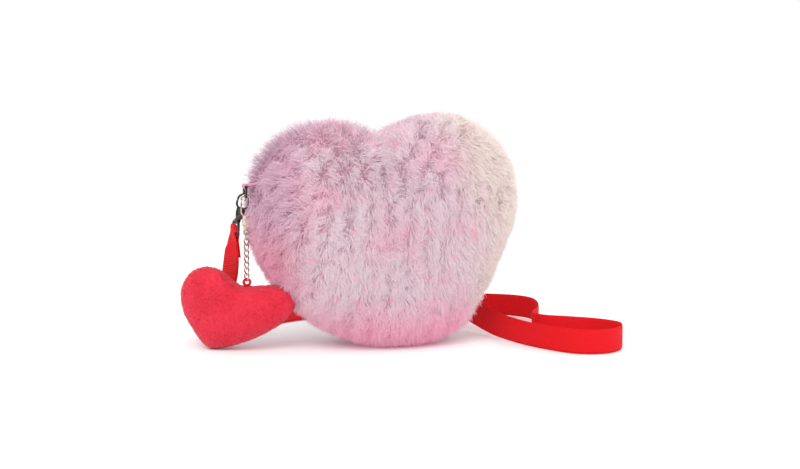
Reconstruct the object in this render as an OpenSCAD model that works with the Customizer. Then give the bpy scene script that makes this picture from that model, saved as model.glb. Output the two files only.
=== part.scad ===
/* [Heart body] */
// Half of the body's depth, front to back, at its middle
body_half_d = 46; // [38:1:54]
// Radius of the lobe at the left, over which the zipper runs
left_lobe_r = 58; // [54:0.5:62]
// Where the left lobe's centre lies, across
left_lobe_x = -66; // [-70:1:-62]
// Height of the left lobe's centre
left_lobe_z = 120.5; // [116:0.5:125]
// Radius of the lobe at the right
right_lobe_r = 57; // [53:0.5:61]
// Where the right lobe's centre lies, across
right_lobe_x = 29; // [25:1:33]
// Height of the right lobe's centre
right_lobe_z = 125.5; // [121:0.5:130]
// Radius of the belly that the heart stands on
belly_r = 62; // [58:0.5:66]
// Where the belly's centre lies, across
belly_x = -9; // [-13:1:-5]
// How far the floor flattens the belly
belly_flat = 2.5; // [1.5:0.25:4]
// Radius of the left flank, between the lobe and the belly
left_flank_r = 61.5; // [58:0.5:65]
// Where the left flank's centre lies, across
left_flank_x = -49; // [-53:1:-45]
// Height of the left flank's centre
left_flank_z = 87; // [83:1:91]
// Radius of the right flank, between the lobe and the belly
right_flank_r = 66; // [62:0.5:70]
// Where the right flank's centre lies, across
right_flank_x = 6; // [2:1:10]
// Height of the right flank's centre
right_flank_z = 89; // [85:1:93]

/* [Body layers] */
// Thickness of the plush panels, pile and backing cloth
plush_t = 11; // [9:0.5:13]
// Thickness of the padding behind the plush
padding_t = 8; // [5:0.5:10]
// Thickness of the lining cloth
lining_t = 1; // [0.6:0.1:2]

/* [Zipper] */
// Half of the opening that the two tapes fill
zip_half_w = 7; // [6:0.25:9]
// How deep the tapes lie under the tips of the pile
zip_depth = 9.6; // [8:0.2:10]
// Thickness of a tape
tape_t = 0.8; // [0.5:0.1:1]
// Distance from one tooth to the next on a tape
tooth_pitch = 2.6; // [2.4:0.1:3.2]
// Half of the strip that the teeth of one tape take up
tooth_half_w = 1.6; // [1.4:0.1:1.8]
// How far a tooth reaches past the middle
tooth_reach = 0.6; // [0.4:0.1:0.8]
// Height of a tooth, square to the tapes
tooth_h = 2.2; // [1.8:0.1:2.4]
// Direction of the closed end, from the left lobe's centre
zip_start_deg = 70; // [66:1:80]
// Direction of the open end, from the left lobe's centre
zip_end_deg = 150; // [144:1:152]
// Length of the slider
slider_l = 9; // [8:0.5:10]
// Width of the slider
slider_w = 10; // [9:0.5:11]
// Thickness of the slider's two plates
slider_t = 1.2; // [1:0.1:1.5]
// Length of the pull
pull_l = 17; // [14:0.5:20]
// Width of the pull
pull_w = 5; // [4:0.5:6]
// Thickness of the pull
pull_t = 1.2; // [1:0.1:1.6]

/* [Strap] */
// Width of the webbing
strap_w = 20; // [18:0.5:22]
// Thickness of the webbing
strap_t = 1.4; // [1:0.1:1.8]

/* [Tabs and rings] */
// Thickness of the tabs' tape, one layer
tab_t = 1.1; // [0.8:0.1:1.4]
// Length of a tab from its ring's bar to its sewn end
tab_l = 21; // [19:0.5:23]
// How far the left ring's bar stands out from its lobe
left_bar_out = 9.5; // [9:0.25:11]
// How high the left ring's bar lies over its lobe's centre
left_bar_up = 13.5; // [12:0.5:15]
// Slope of the left tab
left_tab_deg = 10; // [5:1:14]
// How far the right tab is pulled round to the back
right_turn_deg = 75; // [70:1:80]
// How far the right ring's bar lies from the seam, in plan
right_bar_out = 35; // [34:0.5:38]
// How high the right ring's bar lies over its lobe's centre
right_bar_up = 17.5; // [16:0.5:20]
// Radius of a ring's wire
dring_wire_r = 0.95; // [0.8:0.05:1.1]
// Inner width of a ring
dring_w = 15; // [15:0.5:17]
// Height of a ring, from its bar to its lower wire
dring_h = 8.45; // [8:0.05:9.5]
// Radius of a ring's lower corners
dring_corner_r = 5; // [4:0.25:5]

/* [Strap clasps] */
// Radius of the hook's bends, at the middle of its wire
hook_r = 4.7; // [4.4:0.1:5]
// Radius of the hook's wire
hook_wire_r = 0.9; // [0.8:0.05:1]
// Length of the hook's straight sides
hook_leg = 3.4; // [3:0.1:4]
// Width of the hook's body
hook_body_w = 7; // [6.6:0.1:8]
// Height of the hook's body
hook_body_h = 9; // [8.5:0.1:10]
// Thickness of the hook's body
hook_body_t = 4.6; // [4.2:0.1:5]
// Radius of the swivel's post
post_r = 1.2; // [1:0.1:1.4]
// Radius of the loop's wire
loop_wire_r = 1.1; // [1:0.05:1.2]
// Distance from the loop's bridge down to its bar
loop_drop = 8.2; // [8:0.1:10]
// How far the left loop is swivelled
left_loop_deg = 6; // [0:1:20]
// How far the right loop is swivelled
right_loop_deg = -50; // [-60:1:-40]

/* [Charm clasp and chain] */
// Radius of the charm hook's bends
charm_hook_r = 3.6; // [3.4:0.1:3.8]
// Radius of the charm hook's wire
charm_hook_wire_r = 0.7; // [0.6:0.05:0.8]
// Length of the charm hook's straight sides
charm_hook_leg = 9.8; // [9:0.1:10.4]
// Width of the charm hook's body
charm_body_w = 5.6; // [5.2:0.1:6]
// Height of the charm hook's body
charm_body_h = 12; // [11:0.1:13]
// Thickness of the charm hook's body
charm_body_t = 3.4; // [3.2:0.1:3.6]
// Radius of the eye under the charm hook
charm_eye_r = 1.9; // [1.8:0.1:2.1]
// How far in front of the ring's middle the charm hook hangs
charm_hook_fore = 3; // [2.9:0.1:3.2]
// How far behind the ring's middle the left hook hangs
left_hook_back = 3; // [2.9:0.1:3.2]
// How far the strap pulls the left hook outward
left_lean_deg = 15; // [10:1:16]
// How far the strap pulls the left hook to the back
left_side_deg = 14; // [8:1:16]
// How far the strap pulls the right hook to one side
right_side_deg = 4; // [3:1:6]
// Radius of the jump ring, at the middle of its wire
ring_r = 2.8; // [2.6:0.1:3]
// Radius of the jump ring's wire
ring_wire_r = 0.5; // [0.4:0.05:0.6]
// Distance from one chain link to the next
link_pitch = 4.8; // [4.6:0.1:5]
// Radius of a chain link's wire
link_wire_r = 0.6; // [0.5:0.05:0.6]
// Half of a chain link's width, at the middle of its wire
link_half_w = 1.85; // [1.8:0.05:2]

/* [Charm] */
// Half of the charm's width
charm_half_w = 48; // [44:0.5:50]
// Half of the charm's thickness
charm_half_d = 15; // [12:0.5:16]
// Thickness of the charm's cloth
charm_cloth_t = 1.5; // [1:0.1:2]
// How far the charm leans, its tip to the left
charm_lean_deg = 22; // [18:1:26]
// How far the charm's right lobe is turned to the front
charm_turn_deg = 24; // [20:1:28]
// Radius of the charm's hanging loop
charm_loop_r = 2.6; // [2.4:0.1:2.8]
// Radius of the cord of that loop
charm_cord_r = 0.9; // [0.8:0.05:1]

/* [Fit] */
// Play between a pin and its hole
pin_play = 0.08; // [0.05:0.01:0.1]
// Play where one ring or link hangs in another
hang_play = 0.1; // [0.05:0.05:0.2]
// Gap between parts that pass each other
pass_gap = 0.3; // [0.2:0.05:0.4]

/* [Hidden] */
LINKS = 7;
$fn = 32;

pink = "#dbb9c8";
cream = "#efe6da";
cloth_pink = "#d9a9bd";
zip_pink = "#e3a6bd";
steel = "#b9b4ad";
red = "#dc2434";
plush_red = "#e8304a";

// The body's outline is the soft largest of five rounds, each [across, up, radius]
belly_z = belly_r - belly_flat;
rounds = [
    [left_lobe_x, left_lobe_z, left_lobe_r],
    [right_lobe_x, right_lobe_z, right_lobe_r],
    [belly_x, belly_z, belly_r],
    [left_flank_x, left_flank_z, left_flank_r],
    [right_flank_x, right_flank_z, right_flank_r],
];
heart_mid = [
    (left_lobe_x + right_lobe_x) / 2,
    ((left_lobe_z + right_lobe_z) / 2 + belly_z) / 2,
];
blend_power = 8;
// Shares that shape a stuffed piece: how full its side is and how full its crown is
side_share = 0.77;
crown_share = 0.9;
OUTLINE = 64;
RINGS = 8;
INNER_RINGS = 5;
lining_depth = plush_t + padding_t;
pocket_depth = lining_depth + lining_t;

// How far the seam stays open past the tapes' top and past the zipper's end at the tab, in degrees
// about the left lobe's centre
opening_spare_deg = 4;
tab_spare_deg = 26;
zip_r = left_lobe_r - zip_depth;

// The tapes run on past the teeth at the top, with room for the slider and the top stop
tape_spare_l = slider_l / 2 + 2 * tooth_pitch + 1.5 * pass_gap;
tape_start_deg = zip_start_deg - tape_spare_l / zip_r * 180 / PI;
tape_end_deg = zip_end_deg + 5;

function in_plane(p) = [p.x, p.y];

// How far a ray at angle a from the middle runs before it leaves the round k, drawn in by inset
function reach(a, k, inset) =
    let (
        c = in_plane(k) - heart_mid,
        r = k.z - inset,
        along = c.x * cos(a) + c.y * sin(a),
        spare = along * along - c * c + r * r
    )
    spare > 0 ? max(along + sqrt(spare), 0) : 0;

function heart_reach(a, inset) =
    let (powers = [for (k = rounds) pow(reach(a, k, inset), blend_power)])
    pow(powers * [for (k = rounds) 1], 1 / blend_power);

function heart_outline(inset, count) = [
    for (i = [0 : count - 1])
        let (a = 360 * i / count)
        heart_mid + heart_reach(a, inset) * [cos(a), sin(a)]
];

// One stuffed half: rings from the seam to the crown at depth deep, then the crown's point
function half_points(outline, mid, deep, rings) = concat(
    [
        for (k = [0 : rings - 1])
            let (
                tilt = 90 * k / rings,
                side = pow(cos(tilt), side_share),
                crown = pow(sin(tilt), crown_share)
            )
            for (q = outline)
                let (p = mid + side * (q - mid))
                [p.x, deep * crown, p.y]
    ],
    [[mid.x, deep, mid.y]]
);

// Triangles of such a half, seen from outside; first is the number of its first point
function half_faces(count, rings, first) = concat(
    [
        for (k = [0 : rings - 2])
            for (i = [0 : count - 1])
                let (
                    a = first + k * count + i,
                    b = first + k * count + (i + 1) % count
                )
                each [[a, b, b + count], [a, b + count, a + count]]
    ],
    [
        for (i = [0 : count - 1])
            let (last = first + (rings - 1) * count)
            [last + i, last + (i + 1) % count, first + rings * count]
    ]
);

function turned_over(faces) = [for (f = faces) [f.z, f.y, f.x]];

// Triangles of the seam's face, between an outline and an inner one with half as many points
function seam_faces(count, first) = [
    for (j = [0 : count / 2 - 1])
        let (
            inner = first + j,
            next = first + (j + 1) % (count / 2),
            outer = 2 * j,
            middle = 2 * j + 1,
            far = (2 * j + 2) % count
        )
        each [[inner, middle, outer], [inner, next, middle], [next, far, middle]]
];

// The back half of a hollow stuffed body, between two outlines
module hollow_half(outer, inner, mid, deep, inner_deep, rings, inner_rings) {
    first = len(outer) * rings + 1;
    same = len(outer) == len(inner);
    polyhedron(
        points = concat(
            half_points(outer, mid, deep, rings),
            half_points(inner, mid, inner_deep, inner_rings)
        ),
        faces = concat(
            half_faces(len(outer), rings, 0),
            turned_over(half_faces(len(inner), inner_rings, first)),
            same ? even_seam_faces(len(outer), first) : seam_faces(len(outer), first)
        )
    );
}

// Triangles of a seam's face between two outlines of the same number of points
function even_seam_faces(count, first) = [
    for (i = [0 : count - 1])
        let (next = (i + 1) % count)
        each [[next, i, first + i], [next, first + i, first + next]]
];

module plush_half() {
    difference() {
        hollow_half(
            heart_outline(0, OUTLINE), heart_outline(plush_t, OUTLINE / 2), heart_mid,
            body_half_d, body_half_d - plush_t, RINGS, INNER_RINGS
        );
        floor_cut();
        zip_way();
    }
}

// One layer inside the plush, between two depths under its surface
module layer_half(inset, inner_inset) {
    difference() {
        hollow_half(
            heart_outline(inset, OUTLINE / 2), heart_outline(inner_inset, OUTLINE / 2), heart_mid,
            body_half_d - inset, body_half_d - inner_inset, INNER_RINGS, INNER_RINGS
        );
        zip_way();
    }
}

// The gap in the seam that the zipper and the left tab fill
module zip_way() {
    start_deg = tape_start_deg - opening_spare_deg;
    about_lobe() rotate([0, 0, start_deg])
        rotate_extrude(angle = zip_end_deg + tab_spare_deg - start_deg)
            translate([left_lobe_r - 1.2 * pocket_depth, -zip_half_w])
                square([1.5 * pocket_depth, 2 * zip_half_w]);
}

// What lies under the floor
module floor_cut() {
    wide = 2 * (left_lobe_r + right_lobe_r + body_half_d);
    translate([-wide, -wide, -wide]) cube([2 * wide, 2 * wide, wide]);
}

module front() {
    mirror([0, 1, 0]) children();
}

module front_shell() {
    color(pink) difference() {
        front() plush_half();
        at_right() tab_way();
    }
}

module back_shell() {
    color(cream) difference() {
        plush_half();
        at_right() tab_way();
    }
}

module front_padding() {
    color("white") difference() {
        front() layer_half(plush_t, lining_depth);
        at_right() tab_way();
    }
}

module back_padding() {
    color("white") difference() {
        layer_half(plush_t, lining_depth);
        at_right() tab_way();
    }
}

module front_lining() {
    color(cloth_pink) front() layer_half(lining_depth, pocket_depth);
}

module back_lining() {
    color(cloth_pink) layer_half(lining_depth, pocket_depth);
}

// Puts a drawing in the plane of the heart, its middle at the left lobe's centre, y of the sweep to the front
module about_lobe() {
    translate([left_lobe_x, 0, left_lobe_z]) rotate([90, 0, 0]) children();
}

// Puts a piece on the tapes at an angle: x runs to the open end, z outward
module on_tapes(a) {
    about_lobe() rotate([0, 0, a]) translate([zip_r, 0, 0]) rotate([90, 0, 90]) children();
}

// side is 1 for the front tape and -1 for the back one
module tape(side) {
    about_lobe() rotate([0, 0, tape_start_deg]) rotate_extrude(angle = tape_end_deg - tape_start_deg)
        translate([zip_r - tape_t / 2, side > 0 ? tooth_half_w : -zip_half_w])
            square([tape_t, zip_half_w - tooth_half_w]);
}

// Teeth stand at every pitch, those of the back tape half a pitch on
tooth_step_deg = tooth_pitch / zip_r * 180 / PI;
tooth_play = 0.05 * tooth_pitch;
tooth_l = tooth_pitch / 2 - tooth_play;

module teeth(side) {
    first_deg = zip_start_deg + (side > 0 ? 0.5 : 1) * tooth_step_deg;
    for (a = [first_deg : tooth_step_deg : zip_end_deg])
        on_tapes(a) translate([-tooth_l / 2, side > 0 ? -tooth_reach : -tooth_half_w, -tooth_h / 2])
            cube([tooth_l, tooth_half_w + tooth_reach, tooth_h]);
}

module zip_tape_front() {
    color(zip_pink) tape(1);
}

module zip_tape_back() {
    color(zip_pink) tape(-1);
}

module zip_teeth_front() {
    color(zip_pink) teeth(1);
}

module zip_teeth_back() {
    color(zip_pink) teeth(-1);
}

stop_l = tooth_pitch;
stop_t = 0.8 * tape_t;

// Two small clips, one folded over the edge of each tape
module zip_top_stop() {
    color(steel) on_tapes(tape_start_deg + tooth_step_deg)
        for (side = [-1, 1])
            translate([-stop_l / 2, side > 0 ? pass_gap : -tooth_half_w, -tooth_h / 2])
                cube([stop_l, tooth_half_w - pass_gap, tooth_h]);
}

// One clip across both tapes, over their outer faces
module zip_bottom_stop() {
    color(steel) on_tapes(zip_end_deg + 1.5 * tooth_step_deg)
        translate([-stop_l / 2, -2 * tooth_half_w, tape_t / 2]) cube([stop_l, 4 * tooth_half_w, 2 * stop_t]);
}

slider_gap = tooth_h / 2 + pass_gap;
slider_post_l = 0.15 * slider_l;
bail_l = 0.66 * slider_l;
bail_w = 0.2 * slider_w;
bail_h = 2.2 * slider_t;
bail_bar = 0.7 * slider_t;
slider_deg = zip_start_deg - 0.5 * tooth_step_deg;

// The slider's plates, their edges turned in over the tapes, the post that parts the teeth, and the bail
module zip_slider() {
    lip_w = slider_w / 2 - tooth_half_w - tooth_h;
    color(steel) on_tapes(slider_deg) {
        for (side = [-1, 1])
            translate([0, 0, side * (slider_gap + slider_t / 2)])
                cube([slider_l, slider_w, slider_t], center = true);
        for (side = [-1, 1], edge = [-1, 1])
            translate([0, edge * (slider_w - lip_w) / 2, side * (slider_gap + tape_t / 2 + pass_gap) / 2])
                cube([slider_l, lip_w, slider_gap - tape_t / 2 - pass_gap], center = true);
        translate([-slider_l / 2, -tooth_reach, -slider_gap])
            cube([slider_post_l, 2 * tooth_reach, 2 * slider_gap]);
        translate([0, 0, slider_gap + slider_t]) difference() {
            translate([-bail_l / 2, -bail_w / 2, 0]) cube([bail_l, bail_w, bail_h + bail_bar]);
            translate([-bail_l / 2 + bail_bar, -bail_w, 0]) cube([bail_l - 2 * bail_bar, 2 * bail_w, bail_h]);
        }
    }
}

pull_bar_r = 0.28 * bail_h;
pull_eye = bail_w + 2 * pass_gap;

// A flat pull with a window at each end, its bar through the bail
module zip_pull() {
    color(steel) on_tapes(slider_deg) translate([0, 0, slider_gap + slider_t + bail_h - pull_bar_r - hang_play]) {
        rotate([90, 0, 0]) cylinder(h = pull_eye + pull_t, r = pull_bar_r, center = true);
        for (side = [-1, 1])
            translate([0, side * (pull_eye + pull_t) / 2, 0]) rotate([90, 0, 0]) linear_extrude(pull_t, center = true)
                union() {
                    circle(pull_bar_r);
                    translate([0, -pull_bar_r]) square([bail_l, 2 * pull_bar_r]);
                }
        translate([bail_l, -pull_w / 2, -pull_bar_r]) difference() {
            cube([pull_l - bail_l, pull_w, 2 * pull_bar_r]);
            translate([pull_l - bail_l - pull_w / 2, pull_w / 2, -pull_t])
                cylinder(h = 4 * pull_t, r = pull_w / 4);
        }
    }
}

// The rings' bars: where each lies, and the way its tab points in plan
left_bar = [left_lobe_x - left_lobe_r - left_bar_out, 0, left_lobe_z + left_bar_up];
right_seam_x = right_lobe_x + sqrt(pow(right_lobe_r - plush_t, 2) - pow(right_bar_up, 2));
right_bar = [
    right_seam_x + right_bar_out * cos(right_turn_deg),
    right_bar_out * sin(right_turn_deg),
    right_lobe_z + right_bar_up,
];
left_turn_deg = 180;

// Places a piece at a ring's bar: x points away from the body, y along the bar, z up
module at_left() {
    translate(left_bar) rotate([0, 0, left_turn_deg]) children();
}

module at_right() {
    translate(right_bar) rotate([0, 0, right_turn_deg]) children();
}

tab_bore_r = dring_wire_r + pin_play;
tab_w = 2 * zip_half_w;
right_tab_l = right_bar_out + 0.1 * plush_t;

// Tape folded round a ring's bar, its two layers lying together, long from the bar to its sewn end
module tab(long, slope_deg) {
    rotate([0, slope_deg, 0]) rotate([90, 0, 0]) linear_extrude(tab_w, center = true) difference() {
        union() {
            circle(tab_bore_r + tab_t);
            translate([-long, -tab_t]) square([long, 2 * tab_t]);
        }
        circle(tab_bore_r);
    }
}

// The slit in the seam through which the right tab comes out
module tab_way() {
    translate([-right_tab_l, -tab_w / 2, -tab_t]) cube([right_tab_l, tab_w, 2 * tab_t]);
}

module left_tab() {
    color(pink) at_left() tab(tab_l, left_tab_deg);
}

module right_tab() {
    color(pink) at_right() tab(right_tab_l, 0);
}

// A bend of wire in the xy plane round its origin, from angle a to angle b
module bend(r, wire_r, a, b) {
    rotate([0, 0, a]) rotate_extrude(angle = b - a) translate([r, 0]) circle(wire_r);
}

// A straight of wire between two points in the xy plane
module straight(p, q, wire_r) {
    d = q - p;
    translate([p.x, p.y, 0]) rotate([90, 0, atan2(d.y, d.x) + 90])
        cylinder(h = norm(d), r = wire_r);
}

// How much thicker a wire is at a knuckle than along its length, as a share
knuckle_share = 1.05;
dring_half_w = dring_w / 2 + dring_wire_r;

// Seen along x: a bar with tight corners, two sides, and a lower wire with wide corners
module dring() {
    bar_corner_r = 1.3 * dring_wire_r;
    bar_knee = dring_half_w - bar_corner_r;
    knee = dring_half_w - dring_corner_r;
    turn_z = -dring_h + dring_corner_r;
    rotate([90, 0, 90]) {
        straight([-bar_knee, 0], [bar_knee, 0], dring_wire_r);
        for (side = [-1, 1]) {
            translate([side * bar_knee, -bar_corner_r, 0])
                bend(bar_corner_r, dring_wire_r, side > 0 ? 0 : 90, side > 0 ? 90 : 180);
            straight([side * dring_half_w, -bar_corner_r], [side * dring_half_w, turn_z], dring_wire_r);
            translate([side * knee, turn_z, 0])
                bend(dring_corner_r, dring_wire_r, side > 0 ? 270 : 180, side > 0 ? 360 : 270);
        }
        straight([-knee, -dring_h], [knee, -dring_h], dring_wire_r);
    }
}

module left_dring() {
    color(steel) at_left() dring();
}

module right_dring() {
    color(steel) at_right() dring();
}

// Hangs a piece from a ring's lower wire, along from its middle, leaning outward and to one side, its origin
// drop below
module hung(along, lean_deg, side_deg, drop) {
    translate([0, along, -dring_h]) rotate([-side_deg, -lean_deg, 0]) translate([0, 0, -drop]) children();
}

// Shares of a hook's bend radius: its tip, where its body begins, the gate's pivot, and the sizes there
tip_share = 0.25;
body_share = 0.85;
pivot_x_share = 0.34;
pivot_z_share = 1.45;
lug_r_share = 0.36;
lug_top_share = 0.2;
pin_r_share = 0.117;
link_r_share = 0.17;
coil_r_share = 0.21;
coil_wire_share = 0.038;
gate_end_deg = 295;

function pivot(r, leg) = [pivot_x_share * r, -leg - pivot_z_share * r];
function body_top(r, leg) = -leg - body_share * r;
function slot_half(wire_r) = wire_r + pass_gap;

// The hook's wire and its body, drawn in the xy plane with the middle of the upper bend at the origin
module hook(r, wire_r, leg, body_w, body_h, body_t) {
    top = body_top(r, leg);
    at = pivot(r, leg);
    slot_x = at.x - lug_r_share * r - 1.5 * pass_gap;
    slot_y = at.y - lug_r_share * r - pass_gap;
    rotate([90, 0, 0]) {
        bend(r, wire_r, 0, 180);
        straight([r, 0], [r, -tip_share * r], wire_r);
        straight([-r, 0], [-r, -leg], wire_r);
        difference() {
            union() {
                translate([0, -leg, 0]) bend(r, wire_r, 180, 262);
                intersection() {
                    linear_extrude(body_t, center = true) polygon([
                        [-0.5 * body_w, top - 0.06 * body_h], [-0.42 * body_w, top],
                        [0.42 * body_w, top], [0.5 * body_w, top - 0.06 * body_h],
                        [0.5 * body_w, top - 0.5 * body_h], [0.36 * body_w, top - body_h],
                        [-0.36 * body_w, top - body_h], [-0.5 * body_w, top - 0.5 * body_h],
                    ]);
                    translate([0, top - body_h, 0]) rotate([-90, 0, 0])
                        cylinder(h = body_h, r = 0.52 * body_w);
                }
            }
            translate([slot_x, slot_y, -slot_half(wire_r)])
                cube([body_w, top - slot_y + wire_r, 2 * slot_half(wire_r)]);
            translate([at.x, at.y, -body_t]) cylinder(h = 2 * body_t, r = pin_r_share * r);
        }
    }
}

module gate(r, wire_r, leg) {
    at = pivot(r, leg);
    joint_deg = gate_end_deg + 10;
    joint = [r * cos(joint_deg), -leg + r * sin(joint_deg)];
    rotate([90, 0, 0]) difference() {
        union() {
            straight([r, -tip_share * r - 2 * pass_gap], [r, -leg], wire_r);
            translate([0, -leg, 0]) bend(r, wire_r, gate_end_deg, 360);
            translate([r, -leg, 0]) sphere(knuckle_share * wire_r);
            straight(joint, at, link_r_share * r);
            translate([at.x, at.y, -wire_r])
                cylinder(h = (1 + lug_top_share) * wire_r, r = lug_r_share * r);
        }
        translate([at.x, at.y, -2 * wire_r])
            cylinder(h = 4 * wire_r, r = pin_r_share * r + pin_play);
        translate([at.x, at.y, lug_top_share * wire_r])
            cylinder(h = 2 * wire_r, r = (coil_r_share + 2 * coil_wire_share) * r);
    }
}

module gate_pin(r, leg, body_t) {
    at = pivot(r, leg);
    rotate([90, 0, 0]) translate([at.x, at.y, -body_t / 2])
        cylinder(h = body_t, r = pin_r_share * r);
}

// A single turn round the pin, one leg against the slot's wall and one reaching up behind the gate
module gate_spring(r, wire_r, leg) {
    at = pivot(r, leg);
    coil_r = coil_r_share * r;
    coil_wire_r = coil_wire_share * r;
    rotate([90, 0, 0]) translate([at.x, at.y, lug_top_share * wire_r + 2 * coil_wire_r]) {
        bend(coil_r, coil_wire_r, -130, 160);
        straight(coil_r * [cos(160), sin(160)], coil_r * [-1.35, 1.8], coil_wire_r);
        straight(coil_r * [cos(130), -sin(130)], coil_r * [-1.83, 0.23], coil_wire_r);
    }
}

hook_drop = hook_r - hook_wire_r - dring_wire_r - hang_play;
collar_h = 0.8 * post_r;
collar_z = body_top(hook_r, hook_leg) - hook_body_h - collar_h;
bridge_t = 2.4 * loop_wire_r;
bridge_z = collar_z - hang_play - bridge_t / 2;

// A strap clasp's hook with the collar and the headed post on which its loop swivels
module strap_hook() {
    hook(hook_r, hook_wire_r, hook_leg, hook_body_w, hook_body_h, hook_body_t);
    translate([0, 0, collar_z]) cylinder(h = collar_h, r = 0.36 * hook_body_w);
    translate([0, 0, collar_z - bridge_t - 2 * hang_play - collar_h]) {
        cylinder(h = bridge_t + 2 * hang_play + 2 * collar_h, r = post_r);
        cylinder(h = collar_h, r = 1.65 * post_r);
    }
}

bar_half = strap_w / 2 + loop_wire_r + pass_gap;
bridge_half = 0.36 * bar_half;
wrap_r = loop_wire_r + pass_gap + strap_t / 2;
shoulder_z = wrap_r + strap_t / 2 + loop_wire_r - loop_drop;

// A bridge with the post's bore, two arms and the bar that holds the strap, with knuckles at the bends
module strap_loop() {
    difference() {
        union() {
            translate([0, 0, -bridge_t / 2]) cylinder(h = bridge_t, r = 2 * post_r);
            rotate([90, 0, 90]) straight([-bridge_half, 0], [bridge_half, 0], loop_wire_r);
        }
        translate([0, 0, -bridge_t]) cylinder(h = 2 * bridge_t, r = post_r + pin_play);
    }
    rotate([90, 0, 90]) {
        for (side = [-1, 1]) {
            translate([side * bridge_half, 0, 0]) sphere(knuckle_share * loop_wire_r);
            straight([side * bridge_half, 0], [side * bar_half, shoulder_z], loop_wire_r);
            translate([side * bar_half, shoulder_z, 0]) sphere(knuckle_share * loop_wire_r);
            straight([side * bar_half, shoulder_z], [side * bar_half, -loop_drop], loop_wire_r);
            translate([side * bar_half, -loop_drop, 0]) sphere(knuckle_share * loop_wire_r);
        }
        straight([-bar_half, -loop_drop], [bar_half, -loop_drop], loop_wire_r);
    }
}

module on_left_ring() {
    at_left() hung(-left_hook_back, left_lean_deg, left_side_deg, hook_drop) children();
}

module on_right_ring() {
    at_right() hung(0, 0, right_side_deg, hook_drop) children();
}

module left_hook() {
    color(steel) on_left_ring() strap_hook();
}

module left_gate() {
    color(steel) on_left_ring() gate(hook_r, hook_wire_r, hook_leg);
}

module left_gate_pin() {
    color(steel) on_left_ring() gate_pin(hook_r, hook_leg, hook_body_t);
}

module left_gate_spring() {
    color(steel) on_left_ring() gate_spring(hook_r, hook_wire_r, hook_leg);
}

module left_strap_loop() {
    color(steel) on_left_ring() translate([0, 0, bridge_z]) rotate([0, 0, left_loop_deg]) strap_loop();
}

module right_hook() {
    color(steel) on_right_ring() strap_hook();
}

module right_gate() {
    color(steel) on_right_ring() gate(hook_r, hook_wire_r, hook_leg);
}

module right_gate_pin() {
    color(steel) on_right_ring() gate_pin(hook_r, hook_leg, hook_body_t);
}

module right_gate_spring() {
    color(steel) on_right_ring() gate_spring(hook_r, hook_wire_r, hook_leg);
}

module right_strap_loop() {
    color(steel) on_right_ring() translate([0, 0, bridge_z]) rotate([0, 0, right_loop_deg]) strap_loop();
}

charm_drop = charm_hook_r - charm_hook_wire_r - dring_wire_r - hang_play;
charm_body_end = body_top(charm_hook_r, charm_hook_leg) - charm_body_h;
eye_z = charm_body_end - charm_eye_r;

module on_charm_ring() {
    at_left() hung(charm_hook_fore, 0, 0, charm_drop) children();
}

module charm_hook() {
    color(steel) on_charm_ring() {
        hook(charm_hook_r, charm_hook_wire_r, charm_hook_leg, charm_body_w, charm_body_h, charm_body_t);
        translate([0, 0, eye_z]) rotate([90, 0, 0])
            rotate_extrude() translate([charm_eye_r, 0]) circle(charm_hook_wire_r);
    }
}

module charm_gate() {
    color(steel) on_charm_ring() gate(charm_hook_r, charm_hook_wire_r, charm_hook_leg);
}

module charm_gate_pin() {
    color(steel) on_charm_ring() gate_pin(charm_hook_r, charm_hook_leg, charm_body_t);
}

module charm_gate_spring() {
    color(steel) on_charm_ring() gate_spring(charm_hook_r, charm_hook_wire_r, charm_hook_leg);
}

// Down the chain, from the clasp's eye to the charm: where each piece's middle hangs
ring_z = eye_z - charm_eye_r + charm_hook_wire_r + ring_wire_r + hang_play - ring_r;
link_half_h = (link_pitch + 2 * link_wire_r + hang_play) / 2;
first_link_z = ring_z - ring_r + ring_wire_r + link_wire_r + hang_play - link_half_h;
last_link_z = first_link_z - (LINKS - 1) * link_pitch;
charm_loop_z = last_link_z - link_half_h + link_wire_r + charm_cord_r + hang_play - charm_loop_r;

module charm_ring() {
    color(steel) on_charm_ring() translate([0, 0, ring_z]) rotate([90, 0, 90])
        rotate_extrude() translate([ring_r, 0]) circle(ring_wire_r);
}

function unit(v) = v / norm(v);

// Triangles of a tube swept through rings of points, closed on itself or with its ends closed
function tube_faces(sides, rings, closed) = concat(
    [
        for (k = [0 : rings - (closed ? 1 : 2)])
            for (i = [0 : sides - 1])
                let (
                    a = k * sides + i,
                    b = k * sides + (i + 1) % sides,
                    c = (k + 1) % rings * sides + i,
                    d = (k + 1) % rings * sides + (i + 1) % sides
                )
                each [[a, d, b], [a, c, d]]
    ],
    closed ? [] : [
        for (i = [1 : sides - 2])
            let (last = (rings - 1) * sides)
            each [[0, i, i + 1], [last, last + i + 1, last + i]]
    ]
);

LINK_RINGS = 24;
WIRE_SIDES = 6;

// Middle of a curb link's wire at a turn of t: flattened, with a twist that lets the next one lie alike
function link_at(t) = [link_half_w * cos(t), link_half_w / 2 * sin(2 * t), link_half_h * sin(t)];
function link_way(t) = unit([-link_half_w * sin(t), link_half_w * cos(2 * t), link_half_h * cos(t)]);

function link_ring(t) =
    let (
        p = link_at(t),
        way = link_way(t),
        out = unit(p - (p * way) * way),
        aside = cross(way, out)
    )
    [for (i = [0 : WIRE_SIDES - 1])
        p + link_wire_r * (cos(360 * i / WIRE_SIDES) * out + sin(360 * i / WIRE_SIDES) * aside)];

module chain_link(i) {
    color(steel) on_charm_ring() translate([0, 0, first_link_z - (i - 1) * link_pitch]) rotate([0, 0, -45])
        polyhedron(
            points = [for (k = [0 : LINK_RINGS - 1]) each link_ring(360 * k / LINK_RINGS)],
            faces = tube_faces(WIRE_SIDES, LINK_RINGS, true)
        );
}

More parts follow.
